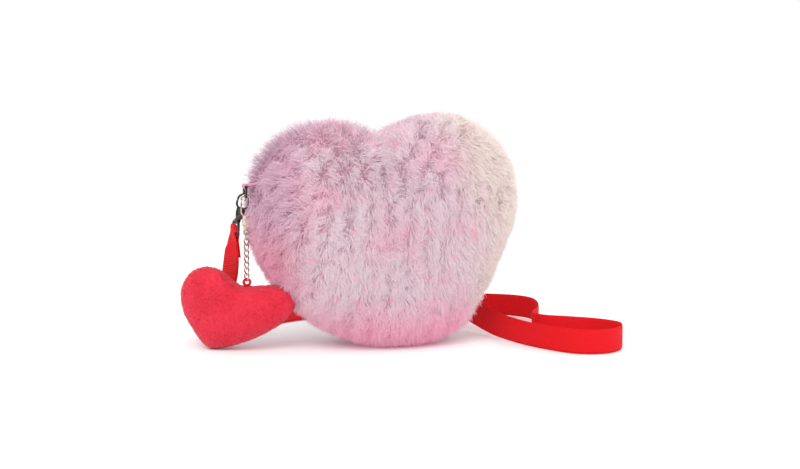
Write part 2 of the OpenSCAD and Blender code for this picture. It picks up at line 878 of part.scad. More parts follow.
// The charm's outline from shares of its half width
heart_x_shares = [0.85, -0.15];
heart_z_shares = [0.63, -0.144, -0.067, -0.032];
dip_share = 0.387;
CHARM_OUTLINE = 48;
CHARM_RINGS = 6;
CHARM_INNER_RINGS = 4;

function charm_outline(half_w, count) = [
    for (i = [0 : count - 1])
        let (t = 360 * i / count)
        half_w * [
            heart_x_shares * [sin(t), sin(3 * t)],
            heart_z_shares * [cos(t), cos(2 * t), cos(3 * t), cos(4 * t)],
        ]
];

function turned_round(outline) = [for (i = [len(outline) - 1 : -1 : 0]) outline[i]];

charm_in_w = charm_half_w - charm_cloth_t;
charm_in_d = charm_half_d - charm_cloth_t;
charm_dip_z = charm_loop_z - charm_loop_r - charm_cord_r - 2 * pass_gap;

// Places the charm's heart, its dip under the loop, leaning and turned
module on_charm() {
    on_charm_ring() translate([0, 0, charm_dip_z]) rotate([0, 0, -charm_turn_deg - left_turn_deg])
        rotate([0, charm_lean_deg, 0]) translate([0, 0, -dip_share * charm_half_w]) children();
}

module charm_half() {
    hollow_half(
        turned_round(charm_outline(charm_half_w, CHARM_OUTLINE)),
        turned_round(charm_outline(charm_in_w, CHARM_OUTLINE / 2)),
        [0, 0], charm_half_d, charm_in_d, CHARM_RINGS, CHARM_INNER_RINGS
    );
}

module charm_loop() {
    color(red) on_charm_ring() translate([0, 0, charm_loop_z]) rotate([90, 0, 0])
        rotate_extrude() translate([charm_loop_r, 0]) circle(charm_cord_r);
}

module charm_front() {
    color(plush_red) on_charm() front() charm_half();
}

module charm_back() {
    color(plush_red) on_charm() charm_half();
}

// The filling as one solid, both halves of it
module charm_stuffing() {
    outline = turned_round(charm_outline(charm_in_w, CHARM_OUTLINE / 2));
    count = CHARM_OUTLINE / 2;
    half = half_points(outline, [0, 0], charm_in_d, CHARM_INNER_RINGS);
    first = len(half) - count;
    color("white") on_charm() polyhedron(
        points = concat(half, [for (i = [count : len(half) - 1]) [half[i].x, -half[i].y, half[i].z]]),
        faces = concat(
            half_faces(count, CHARM_INNER_RINGS, 0),
            [for (f = turned_over(half_faces(count, CHARM_INNER_RINGS, 0)))
                [for (i = f) i < count ? i : i + first]]
        )
    );
}

// Where a strap loop's bar lies, and the direction along it
function turned(v, deg) = [v.x * cos(deg) - v.y * sin(deg), v.x * sin(deg) + v.y * cos(deg), v.z];
function leaning(v, deg) = [v.x * cos(deg) - v.z * sin(deg), v.y, v.x * sin(deg) + v.z * cos(deg)];
function tilted(v, deg) = [v.x, v.y * cos(deg) + v.z * sin(deg), v.z * cos(deg) - v.y * sin(deg)];
function left_hung(v) = turned(leaning(tilted(v, left_side_deg), left_lean_deg), left_turn_deg);
function right_hung(v) = turned(tilted(v, right_side_deg), right_turn_deg);

bar_down = hook_drop - bridge_z + loop_drop;
left_strap_bar = left_bar + turned([0, -left_hook_back, -dring_h], left_turn_deg) + left_hung([0, 0, -bar_down]);
left_bar_way = left_hung(turned([0, -1, 0], left_loop_deg));
right_strap_bar = right_bar + [0, 0, -dring_h] + right_hung([0, 0, -bar_down]);
right_bar_way = right_hung(turned([0, 1, 0], right_loop_deg));

layer_off = strap_t / 2 + 0.2;
lap_l = 21;

// Points of the strap's end, from the lap's end over the bar and down again; each [place, way across]
function wrap(bar, way, down, toward) =
    let (side = unit(cross(down, way)) * toward, up = -down)
    concat(
        [for (l = [lap_l : -lap_l / 4 : lap_l / 4]) [bar + l * down + layer_off * side, way]],
        [for (a = [0 : 45 : 180]) [bar + wrap_r * (cos(a) * side + sin(a) * up), way]],
        [for (l = [lap_l / 4 : lap_l / 4 : lap_l]) [bar + l * down - layer_off * side, way]]
    );

// The strap's free run, from the left clasp round behind the body to the right: x, y, z, then the
// direction of its width in plan and the tilt of its width
route = [
    [-149, 30, 58, 118, 0],
    [-151, 40, 40, 128, 0],
    [-148, 50, 20, 130, 12],
    [-135, 68, 6, 128, 18],
    [-114, 92, 4, 122, 15],
    [-86, 114, 4, 112, 18],
    [-48, 123, 8.5, 100, 50],
    [0, 121, 10.7, 90, 90],
    [50, 113, 10.7, 90, 90],
    [97, 98, 10.7, 90, 90],
    [124, 84, 10.7, 90, 90],
    [136, 66, 10.7, 90, 90],
    [133, 42, 10.7, 90, 90],
    [124, 12, 10.7, 90, 90],
    [121, -10, 10.7, 90, 90],
    [134, -24, 10.7, 90, 90],
    [155, -42, 10.7, 90, 90],
    [167, -62, 10.7, 90, 90],
    [161, -80, 10.7, 90, 90],
    [143, -90, 10.7, 90, 90],
    [120, -84, 10.7, 90, 90],
    [100, -62, 10.7, 90, 90],
    [88, -34, 10.7, 0, 80],
    [80, 2, 10.3, 0, 70],
    [73, 32, 9.5, 0, 55],
    [70, 54, 11, 0, 30],
    [70, 66, 24, 0, 8],
    [73, 58, 48, -30, 0],
];

// The route between its points, eased, with the ways across square to it
function eased(a, b, c, d, t) =
    (2 * b + (c - a) * t + (2 * a - 5 * b + 4 * c - d) * t * t + (3 * b - a - 3 * c + d) * t * t * t) / 2;

function across(p) = [cos(p[3]) * cos(p[4]), sin(p[3]) * cos(p[4]), sin(p[4])];

function square_to(v, way) = unit(v - (v * way) * way);

module strap() {
    near = route[0];
    far = route[len(route) - 1];
    left_down = square_to([near.x, near.y, near.z] - left_strap_bar, left_bar_way);
    right_down = square_to([far.x, far.y, far.z] - right_strap_bar, right_bar_way);
    start = wrap(left_strap_bar, left_bar_way, left_down, 1);
    finish = wrap(right_strap_bar, -right_bar_way, right_down, 1);
    knots = concat(start, [for (p = route) [[p.x, p.y, p.z], across(p)]], turned_round(finish));
    last = len(knots) - 1;
    rings = [
        for (i = [0 : last - 1])
            let (
                a = knots[max(i - 1, 0)], b = knots[i], c = knots[i + 1], d = knots[min(i + 2, last)],
                long = norm(c[0] - b[0]) > 2 * strap_w / 3
            )
            for (t = long ? [0, 0.5] : [0])
                [eased(a[0], b[0], c[0], d[0], t), eased(a[1], b[1], c[1], d[1], t)]
    ];
    all = concat(rings, [knots[last]]);
    count = len(all);
    points = [
        for (i = [0 : count - 1])
            let (
                way = unit(all[min(i + 1, count - 1)][0] - all[max(i - 1, 0)][0]),
                wide = square_to(all[i][1], way),
                thick = cross(way, wide)
            )
            for (q = [[-1, -1], [1, -1], [1, 1], [-1, 1]])
                all[i][0] + q.x * strap_w / 2 * wide + q.y * strap_t / 2 * thick
    ];
    color(red) polyhedron(points = points, faces = tube_faces(4, count, false));
}

front_shell();
back_shell();
front_padding();
back_padding();
front_lining();
back_lining();
zip_tape_front();
zip_tape_back();
zip_teeth_front();
zip_teeth_back();
zip_top_stop();
zip_bottom_stop();
zip_slider();
zip_pull();
strap();
left_tab();
left_dring();
left_strap_loop();
left_hook();
left_gate();
left_gate_pin();
left_gate_spring();
right_tab();
right_dring();
right_strap_loop();
right_hook();
right_gate();
right_gate_pin();
right_gate_spring();
charm_hook();
charm_gate();
charm_gate_pin();
charm_gate_spring();
charm_ring();
chain_link(1);  // chain_link_1
chain_link(2);  // chain_link_2
chain_link(3);  // chain_link_3
chain_link(4);  // chain_link_4
chain_link(5);  // chain_link_5
chain_link(6);  // chain_link_6
chain_link(7);  // chain_link_7
charm_loop();
charm_front();
charm_back();
charm_stuffing();
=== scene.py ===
import math

import bpy
import numpy as np
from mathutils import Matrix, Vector, kdtree


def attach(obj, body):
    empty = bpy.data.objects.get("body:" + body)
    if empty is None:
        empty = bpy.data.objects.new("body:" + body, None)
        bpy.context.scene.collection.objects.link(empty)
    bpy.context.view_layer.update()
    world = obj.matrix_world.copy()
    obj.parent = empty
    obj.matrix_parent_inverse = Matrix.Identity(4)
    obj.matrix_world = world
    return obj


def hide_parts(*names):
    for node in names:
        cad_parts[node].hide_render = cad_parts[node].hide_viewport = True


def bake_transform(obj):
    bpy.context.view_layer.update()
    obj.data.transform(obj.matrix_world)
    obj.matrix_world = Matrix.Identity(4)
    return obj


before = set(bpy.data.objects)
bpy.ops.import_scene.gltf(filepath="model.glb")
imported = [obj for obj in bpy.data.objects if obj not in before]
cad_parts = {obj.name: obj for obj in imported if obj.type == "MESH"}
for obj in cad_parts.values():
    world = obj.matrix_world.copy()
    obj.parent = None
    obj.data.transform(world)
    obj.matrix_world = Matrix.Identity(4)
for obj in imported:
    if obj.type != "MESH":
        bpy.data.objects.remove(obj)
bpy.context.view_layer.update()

MM = 0.001
SEED = 11

# Camera, as the photograph was taken

LOOK_AZIMUTH = -14
LOOK_DOWN = 7
CAMERA_PLACE = (-255.7, -1008.1, 218.6)
LENS = 56.25
SENSOR_W = 36


def make_camera():
    data = bpy.data.cameras.new("photo_camera")
    data.lens = LENS
    data.sensor_width = SENSOR_W
    data.clip_start = 0.05
    camera = bpy.data.objects.new("photo_camera", data)
    bpy.context.scene.collection.objects.link(camera)
    camera.location = Vector(CAMERA_PLACE) * MM
    camera.rotation_euler = (math.radians(90 - LOOK_DOWN), 0, math.radians(LOOK_AZIMUTH))
    bpy.context.scene.camera = camera


make_camera()
bpy.context.scene.view_settings.view_transform = "Standard"

# Sizes of the purse in millimetres, as its solids have them

# The heart's outline is the smooth hull of five rounds: middle x and z, then radius
LEFT_LOBE = (-66, 120.5, 58)
RIGHT_LOBE = (29, 125.5, 57)
BELLY = (-9, 59.5, 62)
LEFT_FLANK = (-49, 87, 61.5)
RIGHT_FLANK = (6, 89, 66)
ROUNDS = np.array([LEFT_LOBE, RIGHT_LOBE, BELLY, LEFT_FLANK, RIGHT_FLANK], float)
HEART_MID = np.array([-18.5, 91.25])
BODY_HALF_D = 46
HULL_POWER = 8

# How a stuffed heart swells: powers of the cosine and sine of the tilt, 1 for a plain ellipse
SIDE_POWER = 0.77
CROWN_POWER = 0.9

# The zipper runs round the left lobe's middle, its angles from the x axis
ZIP_R = 48.4
ZIP_HALF_W = 7
TOOTH_HALF_W = 1.6
TAPE_T = 0.8
TAPE_START_DEG = 57.98
TAPE_END_DEG = 155
ZIP_START_DEG = 54
ZIP_END_DEG = 176

# The bars that the two tabs are folded round
LEFT_BAR = np.array([-133.5, 0, 134.0])
RIGHT_BAR = np.array([80.6, 33.81, 143.0])


def heart_reach(angles, inset):
    """How far the heart's edge lies from its middle at each angle, in radians, drawn in by inset."""
    way = np.stack([np.cos(angles), np.sin(angles)], -1)
    total = np.zeros(len(angles))
    for x, z, r in ROUNDS:
        c = np.array([x, z]) - HEART_MID
        along = way @ c
        spare = along**2 - c @ c + (r - inset) ** 2
        reach = np.where(spare > 0, along + np.sqrt(np.maximum(spare, 0)), 0)
        total += np.maximum(reach, 0) ** HULL_POWER
    return total ** (1 / HULL_POWER)


def heart_points(angles, tilts, inset=0):
    """Points of the heart's front half, for angles round its edge and tilts from 0, the seam, to 90."""
    side = np.cos(np.radians(tilts)) ** SIDE_POWER
    crown = np.sin(np.radians(tilts)) ** CROWN_POWER
    reach = heart_reach(angles, inset) * side
    x = HEART_MID[0] + reach * np.cos(angles)
    z = HEART_MID[1] + reach * np.sin(angles)
    y = -(BODY_HALF_D - inset) * crown
    return np.stack([x, y, z], -1)


# Meshes


def mesh_piece(name, points, faces):
    """A smooth piece from points in millimetres and triangles or quads."""
    mesh = bpy.data.meshes.new(name)
    points = np.asarray(points, float)
    faces = np.asarray(faces, np.int32)
    corners = faces.shape[1]
    mesh.vertices.add(len(points))
    mesh.vertices.foreach_set("co", (points * MM).astype(np.float32).ravel())
    mesh.loops.add(faces.size)
    mesh.loops.foreach_set("vertex_index", faces.ravel())
    mesh.polygons.add(len(faces))
    mesh.polygons.foreach_set("loop_start", np.arange(0, faces.size, corners, dtype=np.int32))
    mesh.polygons.foreach_set("loop_total", np.full(len(faces), corners, np.int32))
    mesh.update(calc_edges=True)
    mesh.validate()
    mesh.polygons.foreach_set("use_smooth", np.ones(len(mesh.polygons), bool))
    piece = bpy.data.objects.new(name, mesh)
    bpy.context.scene.collection.objects.link(piece)
    return piece


def ring_faces(rings, sides, closed=False, capped=False):
    """Quads between rings of points, as on a tube, with strips of quads across both ends if capped."""
    faces = []
    for k in range(rings if closed else rings - 1):
        for i in range(sides):
            a, b = k * sides + i, k * sides + (i + 1) % sides
            c, d = (k + 1) % rings * sides + i, (k + 1) % rings * sides + (i + 1) % sides
            faces.append((a, b, d, c))
    if capped:
        top = (rings - 1) * sides
        for i in range(1, sides // 2):
            faces.append((i - 1, sides - i, sides - 1 - i, i))
            faces.append((top + i - 1, top + i, top + sides - 1 - i, top + sides - i))
    return faces


def ring_triangles(rings, sides):
    """The quads between rings of points, each cut in two."""
    return [half for a, b, c, d in ring_faces(rings, sides) for half in ((a, b, c), (a, c, d))]


def unit(v):
    """Each vector at a length of 1."""
    v = np.asarray(v, float)
    return v / np.maximum(np.linalg.norm(v, axis=-1, keepdims=True), 1e-9)


def ramp(value, start, end):
    """0 at the start and before it, rising evenly to 1 at the end; the end may lie below the start."""
    return np.clip((value - start) / (end - start), 0, 1)


def eased(a, b, c, d, t):
    """A place between b and c at the share t, on a smooth line through four points in a row."""
    return 0.5 * (2 * b + (c - a) * t + (2 * a - 5 * b + 4 * c - d) * t**2 + (3 * b - a - 3 * c + d) * t**3)


# Node groups that several finishes share


def group(name, inputs, outputs):
    """An empty node group with its sockets, and its input and output nodes."""
    tree = bpy.data.node_groups.new(name, "ShaderNodeTree")
    for label, kind, value in inputs:
        socket = tree.interface.new_socket(label, in_out="INPUT", socket_type=kind)
        if value is not None:
            socket.default_value = value
    for label, kind in outputs:
        tree.interface.new_socket(label, in_out="OUTPUT", socket_type=kind)
    return tree, tree.nodes.new("NodeGroupInput"), tree.nodes.new("NodeGroupOutput")


def add(tree, kind, inputs=None, **settings):
    """A new node with its settings and the values of its inputs."""
    node = tree.nodes.new(kind)
    for key, value in settings.items():
        setattr(node, key, value)
    for key, value in (inputs or {}).items():
        node.inputs[key].default_value = value
    return node


def noise(tree, where, scale, detail=2, roughness=0.5):
    node = add(tree, "ShaderNodeTexNoise", inputs={"Scale": scale, "Detail": detail, "Roughness": roughness})
    tree.links.new(where, node.inputs["Vector"])
    return node.outputs["Fac"]


def spread(tree, value, low, high, to_low=0, to_high=1):
    """A value's range from low to high, eased on to another range."""
    node = add(tree, "ShaderNodeMapRange", interpolation_type="SMOOTHSTEP")
    node.inputs["From Min"].default_value = low
    node.inputs["From Max"].default_value = high
    node.inputs["To Min"].default_value = to_low
    node.inputs["To Max"].default_value = to_high
    tree.links.new(value, node.inputs["Value"])
    return node.outputs["Result"]


def feed(tree, socket, value):
    """A socket's input: a number or a colour is set, another node's output is linked."""
    if isinstance(value, (int, float, tuple)):
        socket.default_value = value
    else:
        tree.links.new(value, socket)


def blend_colours(tree, share, first, second, mode="MIX"):
    node = add(tree, "ShaderNodeMix", data_type="RGBA", blend_type=mode)
    feed(tree, node.inputs[0], share)
    feed(tree, node.inputs[6], first)
    feed(tree, node.inputs[7], second)
    return node.outputs[2]


def calculate(tree, operation, first, second=0.0):
    node = add(tree, "ShaderNodeMath", operation=operation)
    feed(tree, node.inputs[0], first)
    feed(tree, node.inputs[1], second)
    return node.outputs[0]


def object_place(tree):
    """Where a point lies on its piece, in metres."""
    return add(tree, "ShaderNodeTexCoord").outputs["Object"]


def axes(tree, vector):
    """The three parts of a vector."""
    node = add(tree, "ShaderNodeSeparateXYZ")
    tree.links.new(vector, node.inputs[0])
    return node.outputs["X"], node.outputs["Y"], node.outputs["Z"]


def shade(r, g, b):
    """A colour as read from a screen, 0 to 255, as the renderer wants it."""
    def linear(c):
        c = c / 255
        return c / 12.92 if c <= 0.04045 else ((c + 0.055) / 1.055) ** 2.4

    return (linear(r), linear(g), linear(b), 1.0)


def make_dye_group():
    """The long pile's soft tie-dye: lilac pink with deeper patches, fading to cream at the upper right."""
    dyes = {
        "Pale": shade(219, 202, 208), "Deep": shade(234, 158, 186), "Cream": shade(224, 214, 205),
        "Lilac": shade(200, 158, 180), "Rose": shade(214, 128, 156),
    }
    inputs = [(label, "NodeSocketColor", colour) for label, colour in dyes.items()]
    tree, given, out = group("pile_dye", inputs, [("Color", "NodeSocketColor")])
    dye = given.outputs
    place = object_place(tree)
    x, _, z = axes(tree, place)
    patches = spread(tree, noise(tree, place, 21, 2, 0.55), 0.46, 0.70, 0, 0.34)
    colour = blend_colours(tree, patches, dye["Pale"], dye["Deep"])
    spots = spread(tree, noise(tree, place, 95, 2, 0.5), 0.58, 0.72, 0, 0.55)
    colour = blend_colours(tree, spots, colour, dye["Deep"])
    low = spread(tree, z, 0.050, 0.008, 0, 0.85)
    colour = blend_colours(tree, low, colour, dye["Deep"])
    slant = calculate(tree, "ADD", x, calculate(tree, "MULTIPLY", z, 0.2))
    drift = calculate(tree, "MULTIPLY", noise(tree, place, 15, 2, 0.5), 0.07)
    right = spread(tree, calculate(tree, "ADD", slant, drift), 0.080, 0.130, 0, 0.92)
    colour = blend_colours(tree, right, colour, dye["Cream"])
    left = spread(tree, x, -0.080, -0.118, 0, 0.85)
    edge = blend_colours(tree, spread(tree, z, 0.070, 0.120), dye["Rose"], dye["Lilac"])
    colour = blend_colours(tree, left, colour, edge)
    tree.links.new(colour, out.inputs["Color"])
    return tree


def make_weave_group():
    """The coarse weave of webbing and tape: crossing ribs with a finer grain, and painted shade low between
    the ribs.
    """
    tree, given, out = group(
        "band_weave",
        [("Scale", "NodeSocketFloat", 650.0)],
        [("Height", "NodeSocketFloat"), ("ShadeAndGrain", "NodeSocketFloat")],
    )
    scaled = add(tree, "ShaderNodeVectorMath", operation="SCALE")
    tree.links.new(add(tree, "ShaderNodeTexCoord").outputs["UV"], scaled.inputs[0])
    tree.links.new(given.outputs["Scale"], scaled.inputs["Scale"])
    u, v, _ = axes(tree, scaled.outputs[0])
    woven = calculate(tree, "MULTIPLY", calculate(tree, "SINE", u), calculate(tree, "SINE", v))
    height = calculate(tree, "ADD", calculate(tree, "MULTIPLY", woven, 0.5), 0.5)
    grain = calculate(tree, "ADD", noise(tree, scaled.outputs[0], 1.7, 3, 0.6), 0.4)
    tree.links.new(height, out.inputs["Height"])
    tree.links.new(calculate(tree, "MULTIPLY", height, grain), out.inputs["ShadeAndGrain"])
    return tree


def make_wear_group():
    """Faint tarnish and fine scratches on bright metal."""
    tree, given, out = group(
        "metal_wear",
        [("Scale", "NodeSocketFloat", 900.0)],
        [("Mask", "NodeSocketFloat"), ("Height", "NodeSocketFloat")],
    )
    place = object_place(tree)
    clouds = noise(tree, place, 260, 4, 0.65)
    fine = add(tree, "ShaderNodeTexNoise", inputs={"Detail": 2.0})
    tree.links.new(place, fine.inputs["Vector"])
    tree.links.new(given.outputs["Scale"], fine.inputs["Scale"])
    tree.links.new(spread(tree, clouds, 0.4, 0.7), out.inputs["Mask"])
    tree.links.new(fine.outputs["Fac"], out.inputs["Height"])
    return tree


DYE = make_dye_group()
WEAVE = make_weave_group()
WEAR = make_wear_group()
# Strengths of the painted glow that pile and woven bands give off in their own colour, though they are no
# lamps
PILE_GLOW = 0.2
BAND_GLOW = 0.15


def material(name, roughness=0.9, metallic=0.0, sheen=0.0, specular=0.5):
    """A new material and its one shader."""
    made = bpy.data.materials.new(name)
    made.use_nodes = True
    shader = made.node_tree.nodes["Principled BSDF"]
    shader.inputs["Roughness"].default_value = roughness
    shader.inputs["Metallic"].default_value = metallic
    shader.inputs["Sheen Weight"].default_value = sheen
    shader.inputs["Specular IOR Level"].default_value = specular
    return made, made.node_tree, shader


def use(tree, shared, **values):
    """A shared node group in a material's tree, with its own values."""
    node = tree.nodes.new("ShaderNodeGroup")
    node.node_tree = shared
    for key, value in values.items():
        node.inputs[key].default_value = value
    return node


def bump(tree, shader, height, strength, distance):
    node = add(tree, "ShaderNodeBump", inputs={"Strength": strength, "Distance": distance})
    tree.links.new(height, node.inputs["Height"])
    tree.links.new(node.outputs["Normal"], shader.inputs["Normal"])


def paint_glow(tree, shader, colour, share):
    """Painted light: pile, backing and woven bands glow faintly in their own colour, so they are never quite
    dark between their fibres.
    """
    tree.links.new(colour, shader.inputs["Emission Color"])
    shader.inputs["Emission Strength"].default_value = share


def pile_material(name, **dye):
    """Long pile: the dye with painted shade at the roots, and paler on some strands than on others."""
    made, tree, shader = material(name, 0.85, sheen=0.05, specular=0.06)
    dyed = use(tree, DYE, **dye)
    root = add(tree, "ShaderNodeAttribute", attribute_name="along")
    tone = add(tree, "ShaderNodeAttribute", attribute_name="tone")
    # Painted shade: the dye is dimmed at the roots, deep among the strands, and fades out along each strand
    shaded_roots = blend_colours(tree, 1.0, dyed.outputs["Color"], shade(244, 230, 238), "MULTIPLY")
    colour = blend_colours(tree, spread(tree, root.outputs["Fac"], 0.0, 0.7), shaded_roots, dyed.outputs["Color"])
    pale = calculate(tree, "MULTIPLY", tone.outputs["Fac"], 0.3)
    colour = blend_colours(tree, pale, colour, shade(244, 224, 234))
    tree.links.new(colour, shader.inputs["Base Color"])
    shader.inputs["Sheen Tint"].default_value = shade(255, 220, 236)
    # Painted light: the pile glows faintly in its own colour
    paint_glow(tree, shader, colour, PILE_GLOW)
    return made


def backing_material():
    """The knitted backing under the pile."""
    made, tree, shader = material("plush_backing", 0.95, specular=0.1)
    dyed = use(tree, DYE)
    colour = blend_colours(tree, 1.0, dyed.outputs["Color"], shade(244, 226, 236), "MULTIPLY")
    tree.links.new(colour, shader.inputs["Base Color"])
    bump(tree, shader, noise(tree, object_place(tree), 900, 3), 0.5, 0.0006)
    # Painted light: the backing glows faintly in its own colour
    paint_glow(tree, shader, colour, PILE_GLOW)
    return made


def woven_material(name, light, dark, scale, depth, roughness=0.85):
    """A woven band: light threads on top, painted shade between them mixed with grain, and the weave's depth
    in metres.
    """
    made, tree, shader = material(name, roughness, specular=0.08)
    weave = use(tree, WEAVE, Scale=scale)
    # Painted shade: the dark colour falls between the threads, mixed with the weave's grain
    colour = blend_colours(tree, weave.outputs["ShadeAndGrain"], dark, light)
    tree.links.new(colour, shader.inputs["Base Color"])
    # Painted light: the band glows faintly in its own colour
    paint_glow(tree, shader, colour, BAND_GLOW)
    bump(tree, shader, weave.outputs["Height"], 0.8, depth)
    return made


def metal_material(name, bright, dull, roughness):
    """Plated steel, rougher and duller where it is worn."""
    made, tree, shader = material(name, roughness, metallic=1.0)
    wear = use(tree, WEAR)
    worn = wear.outputs["Mask"]
    tree.links.new(blend_colours(tree, worn, bright, dull), shader.inputs["Base Color"])
    rough = spread(tree, worn, 0, 1, roughness, roughness + 0.18)
    tree.links.new(rough, shader.inputs["Roughness"])
    bump(tree, shader, wear.outputs["Height"], 0.12, 0.00004)
    return made


def plastic_material(name, colour, pale):
    """Moulded nylon with a faint mottle."""
    made, tree, shader = material(name, 0.35)
    mottle = noise(tree, object_place(tree), 700, 2)
    tree.links.new(blend_colours(tree, mottle, colour, pale), shader.inputs["Base Color"])
    bump(tree, shader, mottle, 0.15, 0.0001)
    return made


def short_pile_material():
    """The charm's short dense pile, brushed a little unevenly."""
    made, tree, shader = material("red_short_pile", 0.75, sheen=0.6, specular=0.2)
    place = object_place(tree)
    clouds = spread(tree, noise(tree, place, 45, 3, 0.6), 0.35, 0.65)
    colour = blend_colours(tree, clouds, shade(196, 22, 44), shade(206, 36, 58))
    fine = spread(tree, noise(tree, place, 1400, 2, 0.6), 0.35, 0.7, 0, 0.3)
    colour = blend_colours(tree, fine, colour, shade(222, 60, 82))
    bump(tree, shader, fine, 0.5, 0.0004)
    tree.links.new(colour, shader.inputs["Base Color"])
    shader.inputs["Sheen Tint"].default_value = shade(255, 150, 165)
    return made


PILE = pile_material("pink_pile")
# The back panel's pile: the front's dye made darker and greyer, as painted shade for the back's rim where it
# shows at the heart's edge
SHADED_BACK_PILE = pile_material(
    "shaded_back_pile", Pale=shade(204, 176, 190), Deep=shade(198, 150, 170), Cream=shade(216, 208, 204),
    Lilac=shade(182, 150, 166), Rose=shade(196, 132, 156),
)
BACKING = backing_material()
WEBBING = woven_material("red_webbing", shade(214, 28, 36), shade(184, 12, 20), 2400.0, 0.0007, 0.6)
ZIP_TAPE = woven_material("pink_zip_tape", shade(224, 158, 184), shade(190, 118, 146), 5200.0, 0.0001)
TAB_TAPE = woven_material("pink_tab_tape", shade(214, 156, 178), shade(176, 112, 138), 4200.0, 0.0002)
LINING = woven_material("pink_lining", shade(214, 160, 182), shade(186, 128, 152), 6000.0, 0.0001)
DARK_STEEL = metal_material("dark_steel", shade(84, 77, 72), shade(36, 31, 28), 0.14)
ROSE_STEEL = metal_material("rose_steel", shade(214, 188, 176), shade(136, 108, 100), 0.12)
TEETH = plastic_material("pink_teeth", shade(210, 138, 168), shade(232, 178, 200))
RED_PILE = short_pile_material()
RED_CORD = woven_material("red_cord", shade(222, 34, 52), shade(170, 16, 30), 3200.0, 0.0002)


def dress(piece, body, finish):
    """A piece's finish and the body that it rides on."""
    piece.data.materials.clear()
    piece.data.materials.append(finish)
    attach(piece, body)


# Solids that stay, with their finishes

STEEL_NODES = [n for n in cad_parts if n.startswith(("left_", "right_")) and not n.endswith("_tab")]
CHAIN_NODES = [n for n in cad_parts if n.startswith("chain_link")]
CHARM_METAL = [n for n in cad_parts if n.startswith(("charm_hook", "charm_gate", "charm_ring"))]
ZIP_METAL = ["zip_slider", "zip_pull", "zip_top_stop", "zip_bottom_stop"]


def finish_nodes(names, finish):
    for name in names:
        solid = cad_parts[name]
        solid.data.materials.clear()
        solid.data.materials.append(finish)


finish_nodes(STEEL_NODES, DARK_STEEL)
finish_nodes(CHARM_METAL + CHAIN_NODES + ZIP_METAL, ROSE_STEEL)
finish_nodes(["zip_teeth_front", "zip_teeth_back"], TEETH)
finish_nodes(["front_lining", "back_lining", "front_padding", "back_padding"], LINING)
for chain_link in CHAIN_NODES:
    link_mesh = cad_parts[chain_link].data
    link_mesh.polygons.foreach_set("use_smooth", np.ones(len(link_mesh.polygons), bool))

# The plush body: two backing panels with long pile on them

PANEL_ANGLES = 192
PANEL_TILTS = 30
PANEL_INSET = 0.6
GROOVE_HEM = 1.5
GROOVE_DEPTH = 12
FLOOR_Z = 0.3


def round_left_lobe(points):
    """Each point's angle in degrees round the left lobe's middle, and its distance from there."""
    x, z = points[:, 0] - LEFT_LOBE[0], points[:, 2] - LEFT_LOBE[1]
    return np.degrees(np.arctan2(z, x)), np.hypot(x, z)


def in_groove(points, spare):
    """True where a point lies over the opening that the zipper fills."""
    turn, far = round_left_lobe(points)
    inside = (np.abs(points[:, 1]) < ZIP_HALF_W + spare) & (far > ZIP_R - GROOVE_DEPTH)
    return inside & (turn > ZIP_START_DEG - spare) & (turn < ZIP_END_DEG + spare)


def panel(name, side):
    """One backing panel, side -1 for the front and 1 for the back, its edge folded in along the zipper."""
    angles = np.linspace(0, 2 * math.pi, PANEL_ANGLES, endpoint=False)
    tilts = np.linspace(0, 90, PANEL_TILTS + 1)[:-1]
    rings = [heart_points(angles, np.full(PANEL_ANGLES, t), PANEL_INSET) for t in tilts]
    top = heart_points(np.array([0.0]), np.array([90.0]), PANEL_INSET)
    points = np.concatenate(rings + [top])
    points[:, 1] *= -side
    points[:, 2] = np.maximum(points[:, 2], FLOOR_Z)
    points[in_groove(points, GROOVE_HEM), 1] = side * (ZIP_HALF_W + GROOVE_HEM)
    faces = ring_triangles(PANEL_TILTS, PANEL_ANGLES)
    last_ring = (PANEL_TILTS - 1) * PANEL_ANGLES
    for i in range(PANEL_ANGLES):
        faces.append((last_ring + i, last_ring + (i + 1) % PANEL_ANGLES, len(points) - 1))
    faces = np.array(faces)
    if side > 0:
        faces = faces[:, ::-1]
    return mesh_piece(name, points, faces)


FIELD_WAVES = 7


def smooth_field(points, seed, wave):
    """A gentle random vector at each point, from waves of about the given length."""
    pick = np.random.default_rng(seed)
    field = np.zeros((len(points), 3))
    for _ in range(FIELD_WAVES):
        way = pick.normal(size=3)
        way *= 2 * math.pi / (wave * pick.uniform(0.7, 1.6) * np.linalg.norm(way))
        field += np.sin(points @ way + pick.uniform(0, 2 * math.pi))[:, None] * pick.normal(size=3)
    return field / 2.6


MOST_TILT = 89.9


def surface_steps(surface, turns, tilts, turn_step, tilt_step):
    """Points of a stuffed heart, the normals there, not yet of length 1, and the area round each point."""
    points = surface(turns, tilts)
    round_step = surface(turns + turn_step, tilts) - points
    above = surface(turns, np.clip(tilts + tilt_step, 0, MOST_TILT))
    below = surface(turns, np.clip(tilts, 0, MOST_TILT - tilt_step))
    cross = np.cross(above - below, round_step)
    # Tilts are drawn by their sine, which puts fewer of them near 90
    area = np.linalg.norm(cross, axis=1) / np.maximum(np.cos(np.radians(np.clip(tilts, 0, 88))), 0.03)
    return points, cross, area


def turned_out(normals, points, middle):
    """Normals that all point away from the middle, which is given as x and z."""
    away = points - np.array([middle[0], 0, middle[1]])
    return normals * np.where((normals * away).sum(1) < 0, -1, 1)[:, None]


def laid_flat(lie, normals):
    """The directions, brought down to the surface."""
    return unit(lie - (lie * normals).sum(1)[:, None] * normals)


